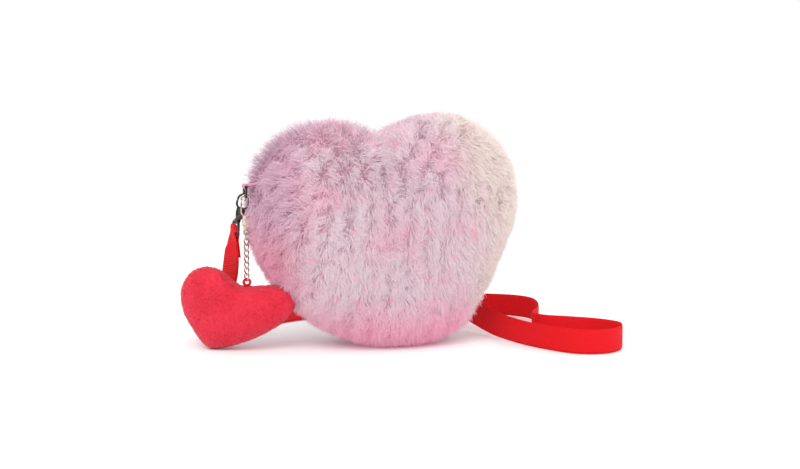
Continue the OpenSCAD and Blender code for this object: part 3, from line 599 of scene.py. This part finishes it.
def scatter(side, count, seed):
    """Roots spread evenly over one panel, with the panel's normals there."""
    pick = np.random.default_rng(seed)
    many = count * 4
    angles = pick.uniform(0, 2 * math.pi, many)
    tilts = np.degrees(np.arcsin(pick.uniform(0, 1, many)))
    roots, cross, area = surface_steps(heart_points, angles, tilts, 0.02, 0.8)
    area = np.minimum(area, np.quantile(area, 0.995))
    keep = pick.uniform(0, area.max(), many) < area
    keep &= np.linalg.norm(cross, axis=1) > 1e-9
    roots = roots[keep][:count]
    normals = turned_out(unit(cross[keep][:count]), roots, HEART_MID)
    roots[:, 1] *= -side
    normals[:, 1] *= -side
    return roots, normals


# Where the pile is kept short: beside the chain, which hangs from the left bar, and beside the right clasp
CHAIN_X = -133.0
CHAIN_DROP = 60
RIGHT_CLASP_TOP = np.array([78, 26, 125.0])
ROOM_FADE = 12


def hardware_room(points):
    """The share of the pile's length left beside the clasps, the chain and the tabs."""
    x, y, z = points.T
    drop = CHAIN_DROP * ramp(z, LEFT_BAR[2], LEFT_BAR[2] - CHAIN_DROP)
    near_chain = np.linalg.norm(np.stack([x - CHAIN_X, y, z - (LEFT_BAR[2] - drop)], 1), axis=1)
    above_bar = ramp(z, LEFT_BAR[2] - 6, LEFT_BAR[2] + 2)
    left = np.maximum(np.clip((near_chain - 2) / ROOM_FADE, 0.5, 1), above_bar)
    near_clasp = np.linalg.norm(points - RIGHT_CLASP_TOP, axis=1)
    return np.minimum(left, np.clip((near_clasp - 6) / ROOM_FADE, 0.4, 1))


# How far the parting along the zipper reaches into the pile: across it, past its ends and towards the middle
PARTING_W = 20
PARTING_PAST_DEG = 8
PARTING_DEPTH = 14


def groove_share(points):
    """1 along the zipper, fading to 0 some way from it, and each point's side of it."""
    turn, far = round_left_lobe(points)
    inside = ramp(turn, ZIP_START_DEG - PARTING_PAST_DEG, ZIP_START_DEG)
    inside *= ramp(turn, ZIP_END_DEG + PARTING_PAST_DEG, ZIP_END_DEG)
    near = ramp(np.abs(points[:, 1]), ZIP_HALF_W + PARTING_W, ZIP_HALF_W)
    return inside * near * (far > ZIP_R - PARTING_DEPTH), np.sign(points[:, 1])


# The pile's changes over the heart, each from the first x or z to the second: standing up on the left lobe's
# crown, lying leftwards on that lobe, and parted in front of its zipper
CROWN_X, CROWN_Z = (6, -8), (118, 143)
LEFTWARD_X, LEFTWARD_Z = (-70, -100), (80, 120)
PARTED_X = (-66, -86)


def crown_share(points):
    """1 on the left lobe's crown and in the notch beside it, where the pile stands up."""
    return ramp(points[:, 2], *CROWN_Z) * ramp(points[:, 0], *CROWN_X)


WHORL = np.array([13.0, 146.0])
WHORL_REACH = 26


def comb(points, normals, seed):
    """Which way the pile lies: out of a whorl on the right lobe, to the left on the left lobe, else down."""
    away = points[:, [0, 2]] - WHORL
    far = np.linalg.norm(away, axis=1, keepdims=True)
    away = away / np.maximum(far, 1e-6) * np.exp(-far / WHORL_REACH)
    whirl = 0.55 * away + 0.85 * np.stack([away[:, 1], -away[:, 0]], 1)
    leftward = ramp(points[:, 0], *LEFTWARD_X) * ramp(points[:, 2], *LEFTWARD_Z)
    lie = np.zeros((len(points), 3))
    lie[:, 0] = -1.1 * leftward
    lie[:, 2] = 0.5 * leftward - 0.85
    lie[:, [0, 2]] += 0.9 * whirl
    lie += 0.42 * smooth_field(points, seed, 42) + 0.62 * smooth_field(points, seed + 1, 12)
    lie += 0.42 * np.random.default_rng(seed + 2).normal(size=lie.shape)
    share, side = groove_share(points)
    lie *= (1 - 0.7 * share)[:, None]
    lie[:, 1] += 2.2 * share * side
    return laid_flat(lie, normals)


# A strand has three sides, rings at these shares of its length, and a tip. It bends over at its knee, which is
# placed by shares of its rise and of its lean, and its foot reaches into the cloth.
STRAND_RINGS = (0.0, 0.4, 0.74)
STRAND_SIDES = 3
KNEE_RISE, KNEE_LEAN = 0.62, 0.22
FOOT_DEEP = 0.8
MOST_STAND = 0.97
LONGEST_PULL = 9


def strand_triangles():
    """The triangles of one closed strand: its sides, its tip and its foot."""
    corners = []
    for k in range(len(STRAND_RINGS) - 1):
        for i in range(STRAND_SIDES):
            a, b = STRAND_SIDES * k + i, STRAND_SIDES * k + (i + 1) % STRAND_SIDES
            corners += [(a, b, b + STRAND_SIDES), (a, b + STRAND_SIDES, a + STRAND_SIDES)]
    top = STRAND_SIDES * (len(STRAND_RINGS) - 1)
    for i in range(STRAND_SIDES):
        corners.append((top + i, top + (i + 1) % STRAND_SIDES, top + STRAND_SIDES))
    return np.array(corners + [(0, 2, 1)])


def strands(name, roots, normals, lie, lengths, stand, width, clumps, gather, stray, seed):
    """Closed tapered strands of pile; each leans along lie, and its tip is gathered towards its clump's."""
    pick = np.random.default_rng(seed)
    count = len(roots)
    stand = np.minimum(stand * pick.uniform(0.8, 1.2, count), MOST_STAND)
    flat_share = np.sqrt(np.maximum(1 - stand**2, 0.05))
    tips = roots + normals * (lengths * stand)[:, None] + lie * (lengths * flat_share)[:, None]
    centres = pick.choice(count, max(int(count * clumps), 1), replace=False)
    tree = kdtree.KDTree(len(centres))
    for i, c in enumerate(centres):
        tree.insert(roots[c], i)
    tree.balance()
    nearest = np.array([tree.find(r)[1] for r in roots])
    pull = tips[centres][nearest] - tips
    pull *= np.minimum(1, LONGEST_PULL / np.maximum(np.linalg.norm(pull, axis=1, keepdims=True), 1e-6))
    tips = tips + pull * (gather * pick.uniform(0.5, 1.0, count))[:, None]
    tips += pick.normal(size=(count, 3)) * stray
    knee = roots + normals * (lengths * stand * KNEE_RISE)[:, None] + (tips - roots) * KNEE_LEAN
    foot = roots - normals * min(FOOT_DEEP, 0.4 * float(lengths.mean()))
    turn = pick.uniform(0, 2 * math.pi, count)
    wide = width * pick.uniform(0.7, 1.3, count)
    points = []
    for t in STRAND_RINGS:
        middle = (1 - t) ** 2 * foot + 2 * t * (1 - t) * knee + t * t * tips
        heading = unit(2 * (1 - t) * (knee - foot) + 2 * t * (tips - knee))
        first = unit(np.cross(heading, normals + 0.01))
        second = np.cross(heading, first)
        thick = (wide * (1 - t) ** 0.7)[:, None]
        for k in range(STRAND_SIDES):
            a = (turn + 2 * math.pi * k / STRAND_SIDES)[:, None]
            points.append(middle + thick * (np.cos(a) * first + np.sin(a) * second))
    points = np.stack(points + [tips], 1)
    points[..., 2] = np.maximum(points[..., 2], FLOOR_Z)
    each = points.shape[1]
    faces = np.arange(count)[:, None, None] * each + strand_triangles()[None]
    piece = mesh_piece(name, points.reshape(-1, 3), faces.reshape(-1, 3))
    share = np.tile(np.append(np.repeat(STRAND_RINGS, STRAND_SIDES), 1.0), count)
    tones = np.repeat(pick.uniform(0, 1, count), each)
    for label, values in (("along", share), ("tone", tones)):
        layer = piece.data.attributes.new(label, "FLOAT", "POINT")
        layer.data.foreach_set("value", values.astype(np.float32))
    return piece


PILE_COUNT = 56000
PILE_PIECES = 5
PILE_LENGTHS = (11.5, 16)
FLANK_FROM_X = 50


def pile_growth(roots, side):
    """The lengths of one panel's pile, and how far it stands up from the cloth."""
    pick = np.random.default_rng(SEED + 40 + side)
    lengths = pick.uniform(*PILE_LENGTHS, len(roots)) * hardware_room(roots)
    crown = crown_share(roots)
    if side < 0:
        # Shorter at the front beside the far half of the zipper, where its dark line shows
        parted = ramp(roots[:, 0], *PARTED_X)
        crown *= 1 - parted
        lengths *= 1 - 0.34 * groove_share(roots)[0] * parted
    lengths *= 1 + 0.04 * crown
    # Shorter near the floor and on the right flank
    lengths *= np.clip(0.3 + roots[:, 2] / 38, 0.3, 1)
    lengths *= np.where(roots[:, 0] > FLANK_FROM_X, 0.85, 1.0)
    return lengths, 0.66 + 0.2 * crown


PANELS = ((-1, "front", PILE, "pink_plush"), (1, "back", SHADED_BACK_PILE, "cream_plush"))


def make_body():
    for side, word, finish, slot in PANELS:
        cloth = panel(f"{word}_panel", side)
        dress(cloth, "purse", BACKING)
        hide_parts(f"{word}_shell")
        roots, normals = scatter(side, PILE_COUNT, SEED + side)
        roots[:, 2] = np.maximum(roots[:, 2], FLOOR_Z + 0.2)
        keep = ~in_groove(roots, 0.5)
        roots, normals = roots[keep], normals[keep]
        lie = comb(roots, normals, SEED + 20)
        lengths, stand = pile_growth(roots, side)
        for k in range(PILE_PIECES):
            part = slice(k, None, PILE_PIECES)
            tufts = strands(
                f"{word}_pile_{k + 1}", roots[part], normals[part], lie[part], lengths[part], stand[part],
                width=0.27, clumps=0.2, gather=0.42, stray=1.1, seed=SEED + 60 + k,
            )
            dress(tufts, "purse", finish)


make_body()

# The strap, its ends folded over the clasps' bars


def turned(v, deg):
    """A vector turned about the z axis."""
    a = math.radians(deg)
    return np.array([v[0] * math.cos(a) - v[1] * math.sin(a), v[0] * math.sin(a) + v[1] * math.cos(a), v[2]])


def leaning(v, deg):
    """A vector turned about the y axis."""
    a = math.radians(deg)
    return np.array([v[0] * math.cos(a) - v[2] * math.sin(a), v[1], v[0] * math.sin(a) + v[2] * math.cos(a)])


def tilted(v, deg):
    """A vector turned about the x axis."""
    a = math.radians(deg)
    return np.array([v[0], v[1] * math.cos(a) + v[2] * math.sin(a), v[2] * math.cos(a) - v[1] * math.sin(a)])


# How each clasp hangs, in degrees: its lean and tilt, its turn, and the turn of the strap's loop below it
LEFT_LEAN, LEFT_SIDE, LEFT_LOOP = 15, 14, 6
RIGHT_SIDE, RIGHT_TURN, RIGHT_LOOP = 4, 75, -50

# From a tab's bar down to the foot of its ring, and from there to the bar that the strap is folded round
DRING_H = 8.45
LEFT_RING_BACK = 3
BAR_DOWN = 29.725

STRAP_W = 20
STRAP_T = 1.4

# The folded end: its bend round the bar, each layer's distance from the middle between them, and its length
WRAP_R = 2.1
LAYER_OFF = 0.9
LAP_L = 21
HAIR = 0.02


def left_hung(v):
    """A vector of the left clasp, drawn hanging straight down, as it hangs."""
    return turned(leaning(tilted(np.array(v, float), LEFT_SIDE), LEFT_LEAN), 180)


def right_hung(v):
    """A vector of the right clasp, drawn hanging straight down, as it hangs."""
    return turned(tilted(np.array(v, float), RIGHT_SIDE), RIGHT_TURN)


LEFT_STRAP_BAR = LEFT_BAR + np.array([0, LEFT_RING_BACK, -DRING_H]) + left_hung([0, 0, -BAR_DOWN])
RIGHT_STRAP_BAR = RIGHT_BAR + np.array([0, 0, -DRING_H]) + right_hung([0, 0, -BAR_DOWN])
LEFT_BAR_WAY = left_hung(turned([0, -1, 0], LEFT_LOOP))
RIGHT_BAR_WAY = right_hung(turned([0, 1, 0], RIGHT_LOOP))

# The strap's free run, from the left clasp round behind the body to the right: place, then the direction
# and the tilt of its width
ROUTE = [
    (-144, 29, 58, 118, 0), (-148, 39, 40, 126, 0), (-147, 50, 20, 130, 12), (-135, 68, 6, 128, 18),
    (-114, 92, 4, 122, 15), (-86, 114, 4, 112, 18), (-48, 123, 8.5, 100, 50), (0, 121, 10.7, 90, 90),
    (50, 113, 10.7, 90, 90), (97, 98, 10.7, 90, 90), (124, 84, 10.7, 90, 90), (136, 66, 10.7, 90, 90),
    (134, 42, 10.7, 90, 90), (125, 17, 10.7, 90, 90), (113, -3, 10.7, 90, 90), (118, -18, 10.7, 90, 90),
    (136, -30, 10.7, 90, 90), (155, -44, 10.7, 90, 90), (167, -62, 10.7, 90, 90), (161, -80, 10.7, 90, 90),
    (143, -90, 10.7, 90, 90), (120, -84, 10.7, 90, 90), (101, -60, 10.7, 90, 90), (89, -32, 10.7, 0, 86),
    (81, 2, 11, 0, 78), (73, 32, 15.5, 0, 62), (70, 54, 17, 0, 36), (70, 65, 28, 0, 8), (73, 58, 48, -30, 0),
]
SPLIT_AT = 7
STRAP_STEP = 2.2
LEFT_TWIST = -24


def across(heading, tilt):
    """The direction of the band's width from its heading on the floor and its tilt, in degrees."""
    a, b = math.radians(heading), math.radians(tilt)
    return np.array([math.cos(a) * math.cos(b), math.sin(a) * math.cos(b), math.sin(b)])


def square_to(v, way):
    """The part of a vector that is square to a direction, at a length of 1."""
    return unit(v - (v @ way) * way)


def wrap(bar, way, down, twist):
    """The folded end: up one side of the bar and down the other, turning by the twist on its way down."""
    side, up = unit(np.cross(down, way)), -down

    def lap(l, layer):
        a = math.radians(twist * l / LAP_L)
        turned_way = math.cos(a) * way + math.sin(a) * side
        return bar + l * down + layer * LAYER_OFF * unit(np.cross(down, turned_way)), turned_way

    knots = [lap(l, 1) for l in np.linspace(LAP_L, LAP_L / 4, 4)]
    for a in np.radians(np.linspace(0, 180, 7)):
        knots.append((bar + WRAP_R * (math.cos(a) * side + math.sin(a) * up), way))
    return knots + [lap(l, -1) for l in np.linspace(LAP_L / 4, LAP_L, 4)]


# Rows of thread down the folded end, stitches across it, and one stitch: half its length, then its rings as
# shares of that and radii
STITCH_ROWS = (LAP_L - 8, LAP_L - 2.5)
STITCHES_ACROSS = np.arange(-7.5, 7.6, 2.5)
STITCH_HALF_L = 0.95
STITCH_RINGS = ((-1, 0.12), (-0.7, 0.27), (0.7, 0.27), (1, 0.12))
STITCH_SIDES = 6


def make_stitches(name, bar, way, down, twist, rides_on):
    """Two rows of thread across both faces of a folded end."""
    pick = np.random.default_rng(SEED + 90)
    side = unit(np.cross(down, way))
    round_thread = np.radians(np.arange(0, 360, 360 // STITCH_SIDES))
    points, faces = [], []
    for row in STITCH_ROWS:
        a = math.radians(twist * row / LAP_L)
        along = math.cos(a) * way + math.sin(a) * side
        out = unit(np.cross(down, along))
        for face in (-1, 1):
            row_middle = bar + row * down + face * (LAYER_OFF + STRAP_T / 2 + HAIR) * out
            for off in STITCHES_ACROSS:
                heading = unit(along + pick.uniform(-0.12, 0.12) * down)
                up = np.cross(heading, out)
                start = len(points)
                for t, r in STITCH_RINGS:
                    core = row_middle + off * along + STITCH_HALF_L * t * heading
                    points += [core + r * (math.cos(b) * out + math.sin(b) * up) for b in round_thread]
                stitch = ring_faces(len(STITCH_RINGS), STITCH_SIDES, capped=True)
                faces += [tuple(start + v for v in f) for f in stitch]
    piece = mesh_piece(name, np.array(points), faces)
    dress(piece, rides_on, RED_CORD)


def eased_run(knots, step):
    """Points and width directions along a smooth line through the knots."""
    places = np.array([k[0] for k in knots], float)
    ways = np.array([k[1] for k in knots], float)
    out_p, out_w = [], []
    last = len(knots) - 1
    for i in range(last):
        near = [max(i - 1, 0), i, i + 1, min(i + 2, last)]
        count = max(int(np.linalg.norm(places[i + 1] - places[i]) / step), 1)
        for t in np.arange(count) / count:
            out_p.append(eased(*places[near], t))
            out_w.append(eased(*ways[near], t))
    return np.array(out_p + [places[-1]]), unit(np.array(out_w + [ways[-1]]))


def run_length(places):
    """The length along a line of points, at each of them."""
    return np.concatenate([[0], np.cumsum(np.linalg.norm(np.diff(places, axis=0), axis=1))])


# A band's section: points across one face, the share of its thickness at the edges, and what each face lies
# inside its solid
BAND_POINTS = 9
BAND_EDGE = 0.35
BAND_INSET = 0.03


def band(name, places, ways, wide=STRAP_W, deep=STRAP_T):
    """A woven band along a run: a closed strip, thinner at its edges, with UV in metres across and along."""
    heading = unit(np.gradient(places, axis=0))
    ways = unit(ways - (ways * heading).sum(1)[:, None] * heading)
    thick = np.cross(heading, ways)
    profile = [(u, 1.0 if abs(u) < 1 else BAND_EDGE) for u in np.linspace(-1, 1, BAND_POINTS)]
    profile += [(u, -v) for u, v in profile[::-1]]
    half_w, half_t = wide / 2, deep / 2 - BAND_INSET
    points = np.stack([places + half_w * u * ways + half_t * v * thick for u, v in profile], 1)
    count, sides = points.shape[:2]
    piece = mesh_piece(name, points.reshape(-1, 3), ring_faces(count, sides, capped=True))
    run = run_length(places)
    corners = np.zeros(len(piece.data.loops), np.int32)
    piece.data.loops.foreach_get("vertex_index", corners)
    u = np.array([p[0] for p in profile])[corners % sides] * half_w * MM
    v = run[corners // sides] * MM
    layer = piece.data.uv_layers.new(name="UVMap")
    layer.data.foreach_set("uv", np.stack([u, v], 1).astype(np.float32).ravel())
    return piece, run[-1] * MM


TAB_W = 14
TAB_T = 1.1
TAB_BORE_R = 1.03
TAB_STRAIGHT_FROM = 3
TAB_STEP = 0.6
LEFT_TAB_L, LEFT_TAB_SLOPE = 21, 10
RIGHT_TAB_L = 35.25


def make_tab(name, bar, long, slope, turn):
    """A tape folded round the bar of its ring, both ends sewn into the seam."""
    bend_r = TAB_BORE_R + TAB_T / 2
    off = TAB_T / 2 + HAIR
    knots = [(-l, 0, -off) for l in np.linspace(long, TAB_STRAIGHT_FROM, 8)]
    bend = np.radians(np.linspace(-100, 100, 11))
    knots += [(bend_r * math.cos(a), 0, bend_r * math.sin(a)) for a in bend]
    knots += [(-l, 0, off) for l in np.linspace(TAB_STRAIGHT_FROM, long, 8)]
    way = turned((0, 1.0, 0), turn)
    placed = [(bar + turned(leaning(k, -slope), turn), way) for k in knots]
    piece, length = band(f"{name}_tape", *eased_run(placed, TAB_STEP), TAB_W, TAB_T)
    dress(piece, "purse", TAB_TAPE)
    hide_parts(name)


TAPE_STEP_DEG = 0.8


def make_zip_tapes():
    """The zipper's two tapes, sewn into the seam on each side of the teeth."""
    r = ZIP_R - TAPE_T / 2
    angles = np.radians(np.arange(TAPE_START_DEG, TAPE_END_DEG, TAPE_STEP_DEG))
    x, z = LEFT_LOBE[0] + r * np.cos(angles), LEFT_LOBE[1] + r * np.sin(angles)
    ways = np.tile([0.0, 1.0, 0.0], (len(angles), 1))
    for side, word in ((-1, "front"), (1, "back")):
        middle = side * (TOOTH_HALF_W + ZIP_HALF_W) / 2
        places = np.stack([x, np.full(len(angles), middle), z], 1)
        piece, _ = band(f"zip_tape_{word}_weave", places, ways, ZIP_HALF_W - TOOTH_HALF_W, TAPE_T)
        dress(piece, "purse", ZIP_TAPE)
        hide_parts(f"zip_tape_{word}")


# The cord loop on the charm: its middle, the ring that its plies lie round, and each ply's offset and radius
LOOP_MID = np.array([-133.5, -3, 56.04])
LOOP_R = 2.6
PLY_OFF = 0.5
PLY_R = 0.82
PLY_COUNT = 2
PLY_TURNS = 7
PLY_STEPS = 160
PLY_SIDES = 8


def make_charm_loop():
    """The loop of twisted cord that the last link holds."""
    t = np.linspace(0, 2 * math.pi, PLY_STEPS, endpoint=False)
    out = np.stack([np.cos(t), np.zeros(PLY_STEPS), np.sin(t)], 1)
    aside = np.array([0, 1.0, 0])
    points, faces = [], []
    for ply in range(PLY_COUNT):
        lay = (PLY_TURNS * t + 2 * math.pi * ply / PLY_COUNT)[:, None]
        core = LOOP_MID + LOOP_R * out + PLY_OFF * (np.cos(lay) * out + np.sin(lay) * aside)
        round_ply = [2 * math.pi * i / PLY_SIDES for i in range(PLY_SIDES)]
        skin = [core + PLY_R * (math.cos(a) * out + math.sin(a) * aside) for a in round_ply]
        points.append(np.stack(skin, 1).reshape(-1, 3))
        first = ply * PLY_STEPS * PLY_SIDES
        faces += [tuple(first + v for v in f) for f in ring_faces(PLY_STEPS, PLY_SIDES, closed=True)]
    piece = mesh_piece("charm_cord_loop", np.concatenate(points), faces)
    dress(piece, "charm", RED_CORD)
    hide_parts("charm_loop")


def strap_run(name, knots):
    """One run of the strap, and its flat length in metres."""
    piece, length = band(name, *eased_run(knots, STRAP_STEP))
    piece.data.materials.append(WEBBING)
    return piece, length


def make_strap():
    """The strap in two runs, cut where the body hides it, since its ends hang from two rings."""
    run = [(np.array(knot[:3], float), across(*knot[3:])) for knot in ROUTE]
    left_down = square_to(run[0][0] - LEFT_STRAP_BAR, LEFT_BAR_WAY)
    right_down = square_to(run[-1][0] - RIGHT_STRAP_BAR, RIGHT_BAR_WAY)
    left = wrap(LEFT_STRAP_BAR, LEFT_BAR_WAY, left_down, LEFT_TWIST) + run[: SPLIT_AT + 1]
    right = run[SPLIT_AT:] + wrap(RIGHT_STRAP_BAR, -RIGHT_BAR_WAY, right_down, 0)[::-1]
    piece, length = strap_run("strap_left_run", left)
    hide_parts("strap")
    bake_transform(piece)
    piece, length = strap_run("strap_right_run", right)
    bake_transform(piece)
    make_stitches("left_lap_stitches", LEFT_STRAP_BAR, LEFT_BAR_WAY, left_down, LEFT_TWIST, "left_ring")
    make_stitches("right_lap_stitches", RIGHT_STRAP_BAR, -RIGHT_BAR_WAY, right_down, 0, "right_ring")


make_strap()
make_tab("left_tab", LEFT_BAR, LEFT_TAB_L, LEFT_TAB_SLOPE, 180)
make_tab("right_tab", RIGHT_BAR, RIGHT_TAB_L, 0, RIGHT_TURN)
make_zip_tapes()
make_charm_loop()

# The charm: a stuffed heart of short pile with a seam round it

CHARM_HALF_D = 15
CHARM_TURN = 24
CHARM_HUNG = np.array([-133.5, -3, 51.94])

# The seam's outline from where the charm hangs, to the right and up, in the charm's own plane
CHARM_SEAM = [
    (-5.0, 0.9), (-13.4, 5.6), (-20.9, 12.0), (-29.4, 15.3), (-37.1, 15.5), (-45.7, 12.2), (-51.8, 5.4),
    (-55.4, -3.0), (-55.8, -11.8), (-53.6, -22.0), (-49.0, -31.2), (-43.0, -40.2), (-36.4, -48.2),
    (-31.4, -50.9), (-24.7, -50.9), (-16.0, -49.4), (-6.7, -46.6), (4.3, -42.6), (13.8, -38.0),
    (24.9, -31.6), (33.9, -24.3), (38.8, -16.9), (39.9, -10.1), (37.8, -3.6), (32.8, 0.3), (25.3, 1.9),
    (14.4, 1.5), (4.3, 0.7),
]
CHARM_MID = np.array([-9.0, -19.0])
CHARM_SIDES = 168
CURVE_STEPS = 24


def closed_curve(points, count):
    """Points at even steps along a smooth closed curve through the given ones."""
    points = np.asarray(points, float)
    t = np.arange(CURVE_STEPS)[:, None] / CURVE_STEPS
    fine = [eased(*(points[(i + k) % len(points)] for k in (-1, 0, 1, 2)), t) for i in range(len(points))]
    fine = np.concatenate(fine + [points[:1]])
    run = run_length(fine)
    at = np.linspace(0, run[-1], count, endpoint=False)
    return np.stack([np.interp(at, run, fine[:, k]) for k in range(2)], 1)


SEAM = closed_curve(CHARM_SEAM, CHARM_SIDES)[::-1]


def facing(v):
    """Vectors of the charm, drawn facing the front, turned the way that it faces."""
    turn = math.radians(-CHARM_TURN)
    x = v[:, 0] * math.cos(turn) - v[:, 1] * math.sin(turn)
    y = v[:, 0] * math.sin(turn) + v[:, 1] * math.cos(turn)
    return np.stack([x, y, v[:, 2]], 1)


def on_charm(points):
    """Points of the charm, drawn facing the front from where it hangs, to their place."""
    placed = facing(points) + CHARM_HUNG
    placed[:, 2] = np.maximum(placed[:, 2], FLOOR_Z)
    return placed


def charm_points(shares, tilts):
    """Points of the charm's back half, for shares of the way round its seam and tilts from 0 to 90."""
    at = (np.asarray(shares) % 1) * CHARM_SIDES
    low = at.astype(int) % CHARM_SIDES
    part = (at - at.astype(int))[:, None]
    rim = SEAM[low] * (1 - part) + SEAM[(low + 1) % CHARM_SIDES] * part
    flat = (np.cos(np.radians(tilts)) ** SIDE_POWER)[:, None]
    crown = np.sin(np.radians(tilts)) ** CROWN_POWER
    plane = CHARM_MID + (rim - CHARM_MID) * flat
    return np.stack([plane[:, 0], CHARM_HALF_D * crown, plane[:, 1]], 1)


# The cloth's rings of points by their tilt, below 0 on the front side, drawn in a little at the seam
CLOTH_TILTS = np.concatenate([np.linspace(-88, -5, 18), [-1.6, 0, 1.6], np.linspace(5, 88, 18)])
SEAM_SHARE = 0.975


def make_charm_cloth():
    """The charm's closed cloth, its front, its back and its stuffing in one."""
    shares = np.arange(CHARM_SIDES) / CHARM_SIDES
    middle = np.array([CHARM_MID[0], 0, CHARM_MID[1]])
    rings = []
    for tilt in CLOTH_TILTS:
        ring = charm_points(shares, np.full(CHARM_SIDES, abs(tilt)))
        if tilt < 0:
            ring[:, 1] *= -1
        if tilt == 0:
            ring = middle + (ring - middle) * SEAM_SHARE
        rings.append(ring)
    poles = middle + np.array([[0, -CHARM_HALF_D, 0], [0, CHARM_HALF_D, 0]])
    points = np.concatenate(rings + [poles])
    faces = ring_triangles(len(CLOTH_TILTS), CHARM_SIDES)
    front_pole = len(CLOTH_TILTS) * CHARM_SIDES
    last_ring = front_pole - CHARM_SIDES
    for i in range(CHARM_SIDES):
        j = (i + 1) % CHARM_SIDES
        faces.append((j, i, front_pole))
        faces.append((last_ring + i, last_ring + j, front_pole + 1))
    cloth = mesh_piece("charm_cloth", on_charm(points), faces)
    dress(cloth, "charm", RED_PILE)
    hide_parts("charm_front", "charm_back", "charm_stuffing")


NAP_TRIES = 26000
NAP_LENGTHS = (1.3, 2.0)


def make_charm_nap():
    """The short pile on the charm's cloth."""
    pick = np.random.default_rng(SEED + 5)
    shares = pick.uniform(0, 1, NAP_TRIES)
    tilts = np.degrees(np.arcsin(pick.uniform(0, 1, NAP_TRIES)))
    side = pick.choice([-1.0, 1.0], NAP_TRIES)
    points, cross, area = surface_steps(charm_points, shares, tilts, 0.004, 1)
    keep = pick.uniform(0, np.quantile(area, 0.99), NAP_TRIES) < area
    keep &= np.linalg.norm(cross, axis=1) > 1e-9
    points, side = points[keep], side[keep]
    normals = turned_out(unit(cross[keep]), points, CHARM_MID)
    points[:, 1] *= side
    normals[:, 1] *= side
    roots, normals = on_charm(points), facing(normals)
    lie = laid_flat(np.array([0, 0, -1.0]) + 0.6 * smooth_field(roots, SEED + 7, 20), normals)
    lengths = pick.uniform(*NAP_LENGTHS, len(roots))
    nap = strands(
        "charm_nap", roots, normals, lie, lengths, stand=0.35,
        width=0.2, clumps=0.5, gather=0.1, stray=0.12, seed=SEED + 9,
    )
    dress(nap, "charm", RED_PILE)


make_charm_cloth()
make_charm_nap()

# The studio: floor, world and lights, in metres

FLOOR_HALF = 6.0
LIGHTS = (
    ("key_light", (-0.7, -1.3, 1.5), 20, 1.2),
    ("fill_light", (1.3, -0.9, 0.9), 9, 1.5),
)
LIT_POINT = Vector((0, 0, 0.08))


def make_floor():
    h = FLOOR_HALF
    mesh = bpy.data.meshes.new("floor")
    mesh.from_pydata([(-h, -h, 0), (h, -h, 0), (h, h, 0), (-h, h, 0)], [], [(0, 1, 2, 3)])
    floor = bpy.data.objects.new("floor", mesh)
    bpy.context.scene.collection.objects.link(floor)
    made, _, shader = material("pale_floor", 0.9, specular=0.1)
    shader.inputs["Base Color"].default_value = (0.9, 0.9, 0.9, 1)
    floor.data.materials.append(made)


def make_world():
    """Plain white light from all round; only metal sees the dark and bright walls of a studio in it."""
    world = bpy.data.worlds.new("studio")
    world.use_nodes = True
    tree = world.node_tree
    back = tree.nodes["Background"]
    back.inputs["Strength"].default_value = 1.1
    x, _, z = axes(tree, add(tree, "ShaderNodeTexCoord").outputs["Generated"])
    walls = calculate(tree, "ABSOLUTE", calculate(tree, "SINE", calculate(tree, "MULTIPLY", x, 5.0)))
    seen = spread(tree, calculate(tree, "ADD", z, walls), 0.35, 0.95, 0.06, 1.0)
    gloss = add(tree, "ShaderNodeLightPath").outputs["Is Glossy Ray"]
    tree.links.new(blend_colours(tree, gloss, (1.0, 1.0, 1.0, 1.0), seen), back.inputs["Color"])
    bpy.context.scene.world = world


def make_lights():
    for name, place, power, size in LIGHTS:
        data = bpy.data.lights.new(name, "AREA")
        data.energy = power
        data.size = size
        light = bpy.data.objects.new(name, data)
        bpy.context.scene.collection.objects.link(light)
        light.location = place
        light.rotation_euler = (LIT_POINT - Vector(place)).to_track_quat("-Z", "Y").to_euler()


make_floor()
make_world()
make_lights()
